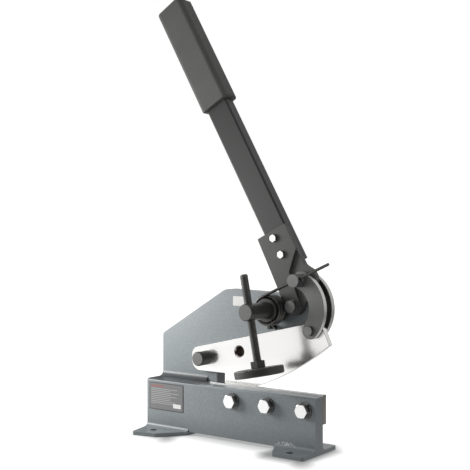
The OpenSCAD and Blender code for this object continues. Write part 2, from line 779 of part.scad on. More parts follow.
rod_tail_d = 16;
rod_tail_y = plate_back_y + face_gap;
module hold_down_rod() {
    color(black_steel) placed() difference() {
        union() {
            chamfered_rod_y(rod_axis, rod_d, -rod_front, rod_tail_y, edge_chamfer);
            rod_y(rod_axis, rod_tail_d, rod_tail_y,
                rod_tail_y + rear_washer_t + nut_h(rod_tail_d) + thread_out);
        }
        on_screw() translate([0, 0, -rod_d]) cylinder(d = screw_d + run_fit, h = 2 * rod_d);
    }
}

module hold_down_rod_washer() {
    color(black_steel) placed()
        ring_y(rod_axis, sleeve_d, rod_tail_d + bolt_fit, rod_tail_y, rod_tail_y + rear_washer_t);
}

module hold_down_rod_nut() {
    color(black_steel) placed() nut_y(rod_axis, rod_tail_d, rod_tail_y + rear_washer_t);
}

pad_nut_h = nut_h(screw_d);
pad_nut_w = 19;
pad_socket = 5;
module hold_down_screw() {
    low = -pad_drop - pad_socket;
    c = edge_chamfer;
    color(black_steel) placed() on_screw() translate([0, 0, low]) rotate_extrude()
        polygon([[0, 0], [screw_d / 2, 0], [screw_d / 2, screw_up - low - c],
            [screw_d / 2 - c, screw_up - low], [0, screw_up - low]]);
}

module hold_down_nut() {
    color(black_steel) placed() on_screw() translate([0, 0, -pad_drop]) difference() {
        hexagon(pad_nut_w, pad_nut_h, true);
        translate([0, 0, -over]) cylinder(d = screw_d + run_fit, h = pad_nut_h + 2 * over);
    }
}

module hold_down_pad() {
    r = pad_d / 2;
    c = edge_chamfer;
    color(black_steel) placed() on_screw() translate([0, 0, -pad_drop - pad_t]) difference() {
        rotate_extrude($fn = 96)
            polygon([[0, 0], [r - c, 0], [r, c], [r, pad_t - c], [r - c, pad_t], [0, pad_t]]);
        translate([0, 0, pad_t - pad_socket]) cylinder(d = screw_d + run_fit, h = pad_socket + over);
    }
}

// Return spring: one wire from the long arm through the link pin, round the sleeve, to a short leg
rings_per_turn = 24;
coil_r = (sleeve_d / 2 + coil_gap + wire_d / 2) / cos(180 / rings_per_turn);
coil_pitch = wire_d + wire_gap;
arm_set_back = 0.3;
arm_y = sleeve_front + arm_set_back + wire_d / 2;
to_pin = link_pin - rod_axis;
pin_dir = atan2(to_pin.y, to_pin.x);
arm_dir = pin_dir - asin(coil_r / norm(to_pin));
arm_angle = arm_dir + 90;
arm_l = sqrt(norm(to_pin) ^ 2 - coil_r ^ 2) + arm_over;
coil_turn = leg_angle - arm_angle + 360 * spring_turns;
leg_y = arm_y + coil_pitch * coil_turn / 360;
coil_rings = ceil(coil_turn / 360 * rings_per_turn);
wire_sides = 6;

// The wire's middle line as [x, y, z] points
function coil_point(a, turned) =
    let(p = rod_axis + polar(a, coil_r)) [p.x, arm_y + coil_pitch * turned / 360, p.y];
arm_end = coil_point(arm_angle, 0) + arm_l * [cos(arm_dir), 0, sin(arm_dir)];
leg_end = coil_point(leg_angle, coil_turn) + leg_l * [-sin(leg_angle), 0, cos(leg_angle)];
wire_path = concat([arm_end],
    [for (i = [0 : coil_rings]) let(t = coil_turn * i / coil_rings) coil_point(arm_angle + t, t)],
    [leg_end]);

function wire_tangent(i) = let(n = len(wire_path))
    unit(wire_path[min(i + 1, n - 1)] - wire_path[max(i - 1, 0)]);
function wire_ring(i) =
    let(t = wire_tangent(i), side = unit(cross(t, [0, 1, 0])), up = cross(side, t))
    [for (k = [0 : wire_sides - 1]) let(a = 360 * k / wire_sides)
        wire_path[i] + wire_d / 2 * (cos(a) * side + sin(a) * up)];

module return_spring() {
    n = len(wire_path);
    color(grey_steel) placed() polyhedron(
        points = [for (i = [0 : n - 1]) each wire_ring(i)],
        faces = concat(
            [[for (k = [wire_sides - 1 : -1 : 0]) k]],
            [for (i = [0 : n - 2], k = [0 : wire_sides - 1])
                let(b = i * wire_sides, m = (k + 1) % wire_sides)
                each [[b + k, b + m, b + wire_sides + m],
                    [b + k, b + wire_sides + m, b + wire_sides + k]]],
            [[for (k = [0 : wire_sides - 1]) (n - 1) * wire_sides + k]]));
}

// Least gap between points of the wire that lie more than half a turn apart
half_turn = rings_per_turn / 2;
self_gap = min([for (i = [1 : coil_rings - half_turn], j = [i + half_turn : coil_rings])
    norm(wire_path[i] - wire_path[j]) - wire_d]);
echo(least_wire_gap = self_gap);

// Stop pin: the spring's fixed leg bears on it
stop_pin_depth = 12;
stop_along = 9;
stop_gap = 0.3;
stop_over = 1;
stop_chamfer = 0.6;
leg_dir = leg_angle + 90;
stop_pin_out = coil_r + wire_d / 2 + stop_gap + stop_pin_d / 2;
stop_pin = rod_axis + polar(leg_angle, stop_pin_out) + polar(leg_dir, stop_along);
module spring_stop_pin() {
    color(black_steel) placed()
        chamfered_rod_y(stop_pin, stop_pin_d, leg_y - wire_d / 2 - stop_over,
            plate_y + stop_pin_depth, stop_chamfer);
}

frame_casting();
lower_blade();
lower_blade_bolts();
lower_blade_washers();
upper_blade();
blade_pivot_pin();
blade_pivot_washer();
blade_pivot_nut();
bar_die_bush();
blade_link_pin();
front_link();
rear_link();
link_screws();
link_spacers();
link_stud();
link_stud_nut();
lever_tube();
lever_grip();
cam_plate();
cheek_plate();
lever_bolts();
lever_nuts();
lever_bush();
lever_pivot_bolt();
lever_pivot_washers();
lever_pivot_nut();
hold_down_sleeve();
hold_down_rod();
hold_down_rod_washer();
hold_down_rod_nut();
hold_down_screw();
hold_down_nut();
hold_down_pad();
return_spring();
spring_stop_pin();
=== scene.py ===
"""Bench lever shear: finishes, rounded edges, threads, spring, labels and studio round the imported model."""
import json
import math
from functools import cache

import bmesh
import bpy
from bpy.props import FloatProperty, FloatVectorProperty, IntProperty, PointerProperty
from bpy.types import NodeSocket, Operator, Panel, PropertyGroup
from mathutils import Matrix, Vector


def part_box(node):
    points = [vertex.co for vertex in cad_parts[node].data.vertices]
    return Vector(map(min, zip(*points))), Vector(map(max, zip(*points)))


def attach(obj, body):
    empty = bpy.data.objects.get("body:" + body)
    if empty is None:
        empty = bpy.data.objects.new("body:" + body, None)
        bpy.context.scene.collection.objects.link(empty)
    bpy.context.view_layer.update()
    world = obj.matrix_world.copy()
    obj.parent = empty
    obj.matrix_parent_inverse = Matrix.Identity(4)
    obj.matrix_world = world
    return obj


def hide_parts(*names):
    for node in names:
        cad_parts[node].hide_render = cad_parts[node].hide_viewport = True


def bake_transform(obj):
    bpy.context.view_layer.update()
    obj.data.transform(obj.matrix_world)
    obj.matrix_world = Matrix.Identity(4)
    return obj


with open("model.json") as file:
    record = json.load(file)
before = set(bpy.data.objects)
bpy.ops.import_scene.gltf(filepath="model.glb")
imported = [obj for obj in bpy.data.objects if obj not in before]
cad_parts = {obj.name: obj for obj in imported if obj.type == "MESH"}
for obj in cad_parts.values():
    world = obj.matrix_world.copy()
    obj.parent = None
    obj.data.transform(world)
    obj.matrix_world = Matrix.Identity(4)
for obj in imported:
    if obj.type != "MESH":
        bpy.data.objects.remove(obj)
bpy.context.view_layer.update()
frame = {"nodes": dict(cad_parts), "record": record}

bl_info = {
    "name": "Bench Lever Shear",
    "version": (1, 0, 0),
    "blender": (4, 5, 0),
    "location": "3D View > Sidebar > Shear",
    "description": "Dresses the bench lever shear with finishes, threads, spring and studio",
    "category": "Object",
}

# The drawing's zero (rail's left end, front face, floor) from the middle of the base holes, in mm
DRAWING_ORIGIN = Vector((156.5, 10.0, 0.0))
# Pins and rods by their X and Z in the drawing, and planes across them by their Y
LEVER_PIVOT = (258.5, 203.0)
LINK_PIN = (273.982, 240.749)
BLADE_PIVOT = (95.2, 116.5)
ROD = (225.5, 197.0)
PLATE_FRONT = 38.0
PLATE_BACK = 58.0
SPRING_FRONT = 4.1
SCREW_MIDDLE = -37.0
# Thread pitch, depth and bare end by nominal diameter, in mm
THREADS = {10: (1.5, 0.92, 0.9), 12: (1.75, 1.07, 1.0), 16: (2.0, 1.23, 1.4)}
# The clamp screw's ends from the rod's axis, in mm, and its lean from upright
SCREW_LOW, SCREW_HIGH = -83.2, 53.6
SCREW_LEAN = math.radians(11.2)
# The spring's arm and leg by their angle round the coil, with the whole turns between them
ARM_ANGLE = math.radians(113.789)
LEG_ANGLE = math.radians(235 + 360 * 4)
# The studio's camera, placed as in the photograph
CAMERA_PLACE = (0.7808, -1.0433, 0.2958)
CAMERA_PITCH, CAMERA_TURN = math.radians(90.43), math.radians(36.5)
CAMERA_LENS = 67.06


def at(x, y, z):
    """Point of the drawing, in mm, as a place in the model, in metres."""
    return (Vector((x, y, z)) - DRAWING_ORIGIN) / 1000


def on_axis(axis, y):
    """Point of a pin's axis in the plane y of the drawing."""
    return at(axis[0], y, axis[1])


BAR_HOLE = at(159.9, 30, 130.7)
# The weld on the right foot, whose pale patches are paint flakes and painted highlights
FOOT_WELD = at(262, -6, 12)
# The shelf's low and high corners, and the far corner of the nook beside it, which bound the painted shade
SHADED_PLACES = (at(0, 0, 79), at(108, 60, 97), at(137, 30, 0))


def colour_property(name, description, default):
    """Colour that a user can change."""
    return FloatVectorProperty(name=name, description=description, default=default, subtype="COLOR",
                               size=4, min=0, max=1)


def length_property(name, description, default):
    """Length that a user can change, in metres."""
    return FloatProperty(name=name, description=description, default=default, min=0, unit="LENGTH",
                         subtype="DISTANCE", precision=5)


def count_property(name, description, default, low, high):
    """Count that a user can change."""
    return IntProperty(name=name, description=description, default=default, min=low, max=high)


class ShearSizes(PropertyGroup):
    frame_edge: length_property("Frame Edge", "Edge radius of the frame under its paint", 0.0009)
    blade_edge: length_property("Blade Edge", "Edge radius of the ground blades", 0.0003)
    plate_edge: length_property("Plate Edge", "Edge radius of lever plates and links", 0.0007)
    bolt_edge: length_property("Bolt Edge", "Edge radius of bolts, nuts and washers", 0.00035)
    turned_edge: length_property("Turned Edge", "Edge radius of turned pins, rod and sleeve", 0.0005)
    pad_edge: length_property("Pad Edge", "Edge radius of the hold-down pad", 0.0008)
    grip_edge: length_property("Grip Edge", "Edge radius of the rubber grip's ends", 0.0032)
    edge_steps: count_property("Edge Steps", "Faces across a rounded edge", 3, 1, 8)
    wire: length_property("Wire Radius", "Radius of the return spring's wire", 0.00212)
    wire_sides: count_property("Wire Sides", "Faces round the spring's wire", 14, 6, 32)
    wire_points: count_property("Wire Points", "Points along the spring's wire", 520, 60, 4000)
    coil: length_property("Coil Radius", "Radius of the spring's coil, to the wire's middle", 0.020475)
    coil_pitch: length_property("Coil Pitch", "Distance between the spring's turns", 0.00445)
    arm: length_property("Arm Length", "Length of the spring's long arm", 0.1219)
    leg: length_property("Leg Length", "Length of the spring's fixed leg", 0.020)
    label_thickness: length_property("Label Thickness", "Thickness of the rating plate", 0.0005)


class ShearColours(PropertyGroup):
    enamel: colour_property("Frame Enamel", "Blue-grey enamel of the frame", (0.232, 0.260, 0.270, 1))
    lever: colour_property("Lever Paint", "Satin paint of the lever", (0.034, 0.034, 0.033, 1))
    cheek: colour_property("Cheek Paint", "Paint of the cam and cheek plates", (0.082, 0.082, 0.079, 1))
    link: colour_property("Links", "Dark grey of the links", (0.195, 0.195, 0.189, 1))
    # Painted highlight: this pale colour lights the links' rims, and a share of it lightens the pins' and
    # bolts' end faces
    rim: colour_property("Ground Rims", "Bare ground rims of links and pins", (0.56, 0.555, 0.545, 1))
    steel: colour_property("Polished Steel", "Ground and polished blade", (0.93, 0.92, 0.905, 1))
    # The blades' end colours also carry painted shade on their ends and tops
    sawn: colour_property("Sawn Steel", "Sawn ends of the upper blade", (0.5, 0.485, 0.47, 1))
    hard: colour_property("Tool Steel", "Oiled ends of the lower blade", (0.15, 0.135, 0.125, 1))
    zinc: colour_property("Zinc", "Bright zinc plating", (0.88, 0.88, 0.87, 1))
    oxide: colour_property("Black Oxide", "Black oxide on turned steel", (0.048, 0.048, 0.046, 1))
    phosphate: colour_property("Phosphate", "Dark phosphate on the pivot bolts", (0.105, 0.105, 0.105, 1))
    rubber: colour_property("Rubber", "Moulded rubber of the grip", (0.158, 0.158, 0.154, 1))
    wire: colour_property("Spring Wire", "Oil-tempered spring wire", (0.066, 0.064, 0.061, 1))
    oil: colour_property("Oil", "Old oil in the bar hole", (0.07, 0.045, 0.03, 1))
    # Pale patches by the weld: the coat under the enamel, and also painted highlights of the weld
    flake_glint: colour_property("Paint Flakes And Glints", "Pale coat under the enamel", (0.7, 0.71, 0.72, 1))
    plate: colour_property("Rating Plate", "Dark ground of the rating plate", (0.19, 0.19, 0.193, 1))
    bar: colour_property("Plate Bar", "Plain bar on the rating plate", (0.27, 0.13, 0.12, 1))
    print: colour_property("Plate Lines", "Ruled lines on the rating plate", (0.42, 0.42, 0.42, 1))
    paper: colour_property("Paper", "Blank sticker", (0.86, 0.86, 0.83, 1))


def fill(tree, socket, value):
    """Gives an input a number or a link."""
    if isinstance(value, NodeSocket):
        tree.links.new(value, socket)
    else:
        socket.default_value = value


def fill_all(tree, sockets, values):
    """Fills sockets by name; the underscores of a name stand for spaces."""
    for key, value in values.items():
        fill(tree, sockets[key.replace("_", " ")], value)


def add_node(tree, kind, values=(), **settings):
    """Adds a node: settings are its properties, values fill inputs with numbers or links."""
    node = tree.nodes.new(kind)
    for key, value in settings.items():
        setattr(node, key, value)
    for key, value in dict(values).items():
        fill(tree, node.inputs[key], value)
    return node


def math_node(tree, operation, *values, clamp=False):
    """Output of one sum on numbers or links."""
    settings = {"operation": operation, "use_clamp": clamp}
    return add_node(tree, "ShaderNodeMath", dict(enumerate(values)), **settings).outputs[0]


def product(tree, first, *others):
    """Product of several numbers or links."""
    for value in others:
        first = math_node(tree, "MULTIPLY", first, value)
    return first


def difference(tree, first, second):
    """Difference of two numbers or links."""
    return math_node(tree, "SUBTRACT", first, second)


def largest(tree, first, *others):
    """Largest of several numbers or links."""
    for value in others:
        first = math_node(tree, "MAXIMUM", first, value)
    return first


def vector_node(tree, operation, *values, output=0):
    """Output of one vector sum."""
    node = add_node(tree, "ShaderNodeVectorMath", dict(enumerate(values)), operation=operation)
    return node.outputs[output]


def weighted_distance(tree, place, centre, weights):
    """Distance from a centre, with a weight for each axis."""
    off = vector_node(tree, "MULTIPLY", vector_node(tree, "SUBTRACT", place, centre), weights)
    return vector_node(tree, "LENGTH", off, output="Value")


def combined(tree, **parts):
    """Vector made of its parts."""
    return add_node(tree, "ShaderNodeCombineXYZ", parts).outputs[0]


def noise(tree, place, scale, detail, roughness=0.5):
    """Noise from 0 to 1."""
    values = {"Vector": place, "Scale": scale, "Detail": detail, "Roughness": roughness}
    return add_node(tree, "ShaderNodeTexNoise", values).outputs[0]


def ramp(tree, value, start, end, low=0.0, high=1.0, **settings):
    """A value between start and end, taken to between low and high."""
    values = {"Value": value, "From Min": start, "From Max": end, "To Min": low, "To Max": high}
    return add_node(tree, "ShaderNodeMapRange", values, **settings).outputs["Result"]


def spread(tree, value, low, high):
    """A 0 to 1 value spread from low to high."""
    return ramp(tree, value, 0.0, 1.0, low, high)


def mix(tree, share, first, second):
    """Mix of two colours by a 0 to 1 share."""
    return add_node(tree, "ShaderNodeMix", {0: share, 6: first, 7: second}, data_type="RGBA").outputs[2]


def attribute(tree, name):
    """A face's value, as rounded() writes it: edge, facing or level."""
    return add_node(tree, "ShaderNodeAttribute", attribute_name=name).outputs["Fac"]


def node_group(kind, name, inputs, outputs):
    """An empty node group: its inputs by their default number or their type, its outputs by their type."""
    tree = bpy.data.node_groups.new(name, kind)
    for label, given in inputs.items():
        socket = {int: "Int", float: "Float"}.get(type(given), given)
        made = tree.interface.new_socket(label, in_out="INPUT", socket_type="NodeSocket" + socket)
        if socket != given:
            made.default_value = given
    for label, socket in outputs.items():
        tree.interface.new_socket(label, in_out="OUTPUT", socket_type="NodeSocket" + socket)
    return tree, tree.nodes.new("NodeGroupInput").outputs, tree.nodes.new("NodeGroupOutput").inputs


def effect_group(name, inputs, *outputs):
    """An empty shader group that reads a place and its inputs and puts out values."""
    return node_group("ShaderNodeTree", name, {"Vector": "Vector", **inputs}, dict.fromkeys(outputs, "Float"))


def put_out(tree, result, **values):
    """Fills a group's outputs and hands the group back."""
    fill_all(tree, result, values)
    return tree


@cache
def surface_grain():
    """Fine grain and broad tone of a surface, by the grain's size in metres."""
    tree, given, result = effect_group("Surface Grain", {"Grain Size": 0.001}, "Fine", "Broad")
    scale = math_node(tree, "DIVIDE", 1.0, given["Grain Size"])
    fine = noise(tree, given["Vector"], scale, 3.0, 0.6)
    broad = noise(tree, given["Vector"], product(tree, scale, 0.03), 2.0)
    return put_out(tree, result, Fine=fine, Broad=broad)


@cache
def worn_edge():
    """Mask of the places where a rounded edge is rubbed."""
    tree, given, result = effect_group("Worn Edge", {"Amount": 0.5, "Patch Size": 0.01}, "Mask")
    patches = noise(tree, given["Vector"], math_node(tree, "DIVIDE", 1.0, given["Patch Size"]), 4.0)
    over = difference(tree, patches, difference(tree, 0.85, given["Amount"]))
    rubbed = math_node(tree, "MULTIPLY", over, 4.0, clamp=True)
    return put_out(tree, result, Mask=product(tree, rubbed, attribute(tree, "edge")))


@cache
def grinding_lines():
    """Fine lines of a grinding wheel, turned about the machine's depth axis."""
    tree, given, result = effect_group("Grinding Lines", {"Angle": 0.0, "Along": 0.03, "Across": 0.0004},
                                       "Lines")
    turned = add_node(tree, "ShaderNodeVectorRotate",
        {"Vector": given["Vector"], "Angle": given["Angle"]}, rotation_type="Y_AXIS").outputs[0]
    along = math_node(tree, "DIVIDE", 1.0, given["Along"])
    across = math_node(tree, "DIVIDE", 1.0, given["Across"])
    stretched = vector_node(tree, "MULTIPLY", turned, combined(tree, X=along, Y=across, Z=across))
    return put_out(tree, result, Lines=noise(tree, stretched, 1.0, 4.0, 0.65))


@cache
def oil_stain():
    """Mask of oil that has crept out round a hole along the machine's depth axis."""
    tree, given, result = effect_group("Oil Stain", {"Centre": "Vector", "Inner": 0.007, "Outer": 0.009},
                                       "Mask")
    distance = weighted_distance(tree, given["Vector"], given["Centre"], (1, 0, 1))
    creep = product(tree, difference(tree, noise(tree, given["Vector"], 300.0, 3.0), 0.5), 0.002)
    reach = math_node(tree, "ADD", distance, creep)
    return put_out(tree, result, Mask=ramp(tree, reach, given["Inner"], given["Outer"], 1.0, 0.0))


@cache
def paint_flakes_and_glints():
    """Mask of small pale patches along a weld, round a centre: flakes in the paint that also stand in for the
    rough weld's painted highlights.
    """
    tree, given, result = effect_group("Paint Flakes And Glints", {"Centre": "Vector", "Reach": 0.016}, "Mask")
    distance = weighted_distance(tree, given["Vector"], given["Centre"], (0.42, 1, 2.6))
    near = ramp(tree, distance, given["Reach"], 0.0)
    gap = difference(tree, noise(tree, given["Vector"], 420.0, 3.0), spread(tree, near, 0.9, 0.22))
    return put_out(tree, result, Mask=math_node(tree, "MULTIPLY", gap, 14.0, clamp=True))


def use_effect(tree, maker, place, **values):
    """Outputs of a shared effect at a place."""
    group = add_node(tree, "ShaderNodeGroup", {"Vector": place}, node_tree=maker())
    fill_all(tree, group.inputs, values)
    return group.outputs


def empty_tree(owner):
    """Cleared node tree of a material or world."""
    owner.use_nodes = True
    owner.node_tree.nodes.clear()
    return owner.node_tree


def new_material(name):
    """A material with an empty tree, its Principled shader and its Object coordinates."""
    made = bpy.data.materials.new(name)
    tree = empty_tree(made)
    shader = tree.nodes.new("ShaderNodeBsdfPrincipled")
    add_node(tree, "ShaderNodeOutputMaterial", {"Surface": shader.outputs["BSDF"]})
    return made, tree, shader, tree.nodes.new("ShaderNodeTexCoord").outputs["Object"]


def feed(made, tree, shader, colour, roughness, height, depth, strength=1.0, **constants):
    """Links a material's colour, roughness and bump, sets its constant sockets and hands it back."""
    bump = add_node(tree, "ShaderNodeBump", {"Height": height, "Distance": depth, "Strength": strength})
    fill_all(tree, shader.inputs, {"Base Color": colour, "Roughness": roughness,
                                   "Normal": bump.outputs["Normal"], **constants})
    return made


def tinted(colour, factor):
    """A colour made lighter or darker."""
    return tuple(min(c * factor, 1.0) for c in colour[:3]) + (1,)


def painted_shade_film(tree, place, uneven, low, high, corner):
    """Painted shade: dark on the shelf from low to high and in the nook up to its corner, and darker towards
    the bottom of front faces.
    """
    parts = add_node(tree, "ShaderNodeSeparateXYZ", {"Vector": place}).outputs
    fade = 0.003
    shelf_end = 0.012
    shade_top = 0.034
    above = ramp(tree, parts["Z"], low.z - fade, low.z)
    below = ramp(tree, parts["Z"], high.z + fade, high.z)
    height = product(tree, above, below)
    beside = ramp(tree, parts["X"], high.x + shelf_end, high.x - shelf_end)
    # Top faces of the shelf, darkened as painted shade
    shelf = product(tree, height, attribute(tree, "level"), beside, spread(tree, uneven, 0.8, 1.1))
    # Front faces, darkened towards the bottom as painted shade
    front = product(tree, ramp(tree, parts["Z"], 0.0, shade_top, 0.5, 0.0), attribute(tree, "facing"))
    behind = ramp(tree, parts["Y"], corner.y, corner.y + 0.004)
    past = ramp(tree, parts["X"], high.x, high.x + fade)
    before = ramp(tree, parts["X"], corner.x, corner.x - 0.002)
    # Faces in the nook beside the shelf, darkened as painted shade
    nook = product(tree, height, behind, past, before, 0.75)
    return largest(tree, shelf, front, nook)


def paint(name, colour, roughness, grain_size, grain_depth, wear, coat=0.0, tone=0.16, specular=0.5,
          speckle=1.2, painted_shade=None, flake_glint_centre=None, flake_glint_colour=None):
    """Sprayed paint: orange-peel grain, soft tone changes, thin edges, painted shade on the shelf, in the
    nook and low on the front faces, and pale flakes by a weld that are partly painted highlights.
    """
    made, tree, shader, place = new_material(name)
    grain = use_effect(tree, surface_grain, place, Grain_Size=grain_size)
    thin = use_effect(tree, worn_edge, place, Amount=wear, Patch_Size=0.012)["Mask"]
    body = mix(tree, grain["Broad"], tinted(colour, 1 - tone), tinted(colour, 1 + tone))
    specks = spread(tree, grain["Fine"], -0.5 * speckle, 0.8 * speckle)
    body = mix(tree, specks, body, tinted(colour, 1.45))
    body = mix(tree, thin, body, tinted(colour, 1.8))
    # Painted shade: the shelf, the nook and the low front faces are darkened
    if painted_shade:
        shade_mask = painted_shade_film(tree, place, grain["Broad"], *painted_shade)
        body = mix(tree, shade_mask, body, tinted(colour, 0.2))
    # Pale patches by the weld: flaked paint and painted highlights of its rough surface
    if flake_glint_centre:
        pale_mask = use_effect(tree, paint_flakes_and_glints, place, Centre=flake_glint_centre)["Mask"]
        body = mix(tree, pale_mask, body, flake_glint_colour)
    rough = spread(tree, grain["Fine"], roughness - 0.08, roughness + 0.08)
    return feed(made, tree, shader, body, rough, grain["Fine"], grain_depth, Specular_IOR_Level=specular,
                Coat_Weight=coat, Coat_Roughness=0.25)


def ground_steel(name, colour, angle, roughness, end_and_shade_colour=None, oil=None, oil_inner=0.0071,
                 oil_outer=0.0087):
    """Ground steel: fine lines, ends and tops darker by how they face, partly their own finish and partly
    painted shade, painted dark lines along the rounded edges, and oil round the bar hole.
    """
    made, tree, shader, place = new_material(name)
    lines = use_effect(tree, grinding_lines, place, Angle=angle)["Lines"]
    grain = use_effect(tree, surface_grain, place, Grain_Size=0.004)
    tone = mix(tree, lines, tinted(colour, 0.94), tinted(colour, 1.05))
    tone = mix(tree, spread(tree, grain["Broad"], -0.2, 0.5), tone, tinted(colour, 0.93))
    if end_and_shade_colour:
        # Faces along Y keep the polished colour, tops take a little of it, and the rest take the end colour:
        # the ends' own finish with painted shade
        front = math_node(tree, "POWER", attribute(tree, "facing"), 4.0)
        polished = largest(tree, front, product(tree, attribute(tree, "level"), 0.3))
        tone = mix(tree, polished, end_and_shade_colour, tone)
        # Painted dark reflection: the rounded edges are darkened nearly to black
        tone = mix(tree, product(tree, attribute(tree, "edge"), 0.8), tone, (0.05, 0.045, 0.04, 1))
    rough = spread(tree, lines, roughness - 0.05, roughness + 0.09)
    if oil:
        stain = use_effect(tree, oil_stain, place, Centre=BAR_HOLE, Inner=oil_inner, Outer=oil_outer)
        tone = mix(tree, stain["Mask"], tone, oil)
        rough = math_node(tree, "ADD", rough, product(tree, stain["Mask"], 0.25))
    return feed(made, tree, shader, tone, rough, lines, 0.00002, 0.2, Metallic=1.0)


def plated(name, colour, roughness, metallic, grain_size, grain_depth, worn_colour, wear, specular=0.5,
           lit_face_colour=None, lit_facing=(0.9, 0.95)):
    """Plated or blackened steel: a fine grain, rubbed edges, and painted light: faces picked by how they face
    take a lighter colour.
    """
    made, tree, shader, place = new_material(name)
    grain = use_effect(tree, surface_grain, place, Grain_Size=grain_size)
    rubbed = use_effect(tree, worn_edge, place, Amount=wear, Patch_Size=0.005)["Mask"]
    tone = mix(tree, grain["Broad"], tinted(colour, 0.82), tinted(colour, 1.15))
    tone = mix(tree, spread(tree, grain["Fine"], -0.35, 0.45), tone, tinted(colour, 1.5))
    # Painted light and shade: faces picked by their facing take the lit colour, and the rest keep the darker
    # body colour
    if lit_face_colour:
        lit_faces = ramp(tree, attribute(tree, "facing"), *lit_facing)
        pale_mask = math_node(tree, "MULTIPLY", spread(tree, grain["Fine"], 0.45, 1.35), lit_faces, clamp=True)
        tone = mix(tree, pale_mask, tone, lit_face_colour)
        tree.links.new(spread(tree, pale_mask, metallic, 0.9), shader.inputs["Metallic"])
    tone = mix(tree, rubbed, tone, worn_colour)
    rough = spread(tree, grain["Fine"], roughness - 0.1, roughness + 0.12)
    return feed(made, tree, shader, tone, rough, grain["Fine"], grain_depth, Metallic=metallic,
                Specular_IOR_Level=specular)


def moulded_rubber(name, colour):
    """Matt moulded rubber with a fine leathery grain."""
    made, tree, shader, place = new_material(name)
    grain = use_effect(tree, surface_grain, place, Grain_Size=0.0011)
    cells = add_node(tree, "ShaderNodeTexVoronoi", {"Vector": place, "Scale": 850.0},
        feature="SMOOTH_F1").outputs["Distance"]
    tone = mix(tree, grain["Broad"], tinted(colour, 0.85), tinted(colour, 1.15))
    tone = mix(tree, spread(tree, grain["Fine"], -0.1, 0.35), tone, tinted(colour, 1.4))
    rough = spread(tree, cells, 0.5, 0.68)
    height = math_node(tree, "ADD", cells, grain["Fine"])
    return feed(made, tree, shader, tone, rough, height, 0.00006, Specular_IOR_Level=0.12)


def printed(name, colour, roughness=0.4):
    """Printed film or paper with a faint fibre grain."""
    made, tree, shader, place = new_material(name)
    grain = use_effect(tree, surface_grain, place, Grain_Size=0.0006)
    tone = mix(tree, grain["Fine"], tinted(colour, 0.88), tinted(colour, 1.12))
    rough = spread(tree, grain["Broad"], roughness - 0.06, roughness + 0.06)
    return feed(made, tree, shader, tone, rough, grain["Fine"], 0.00001)


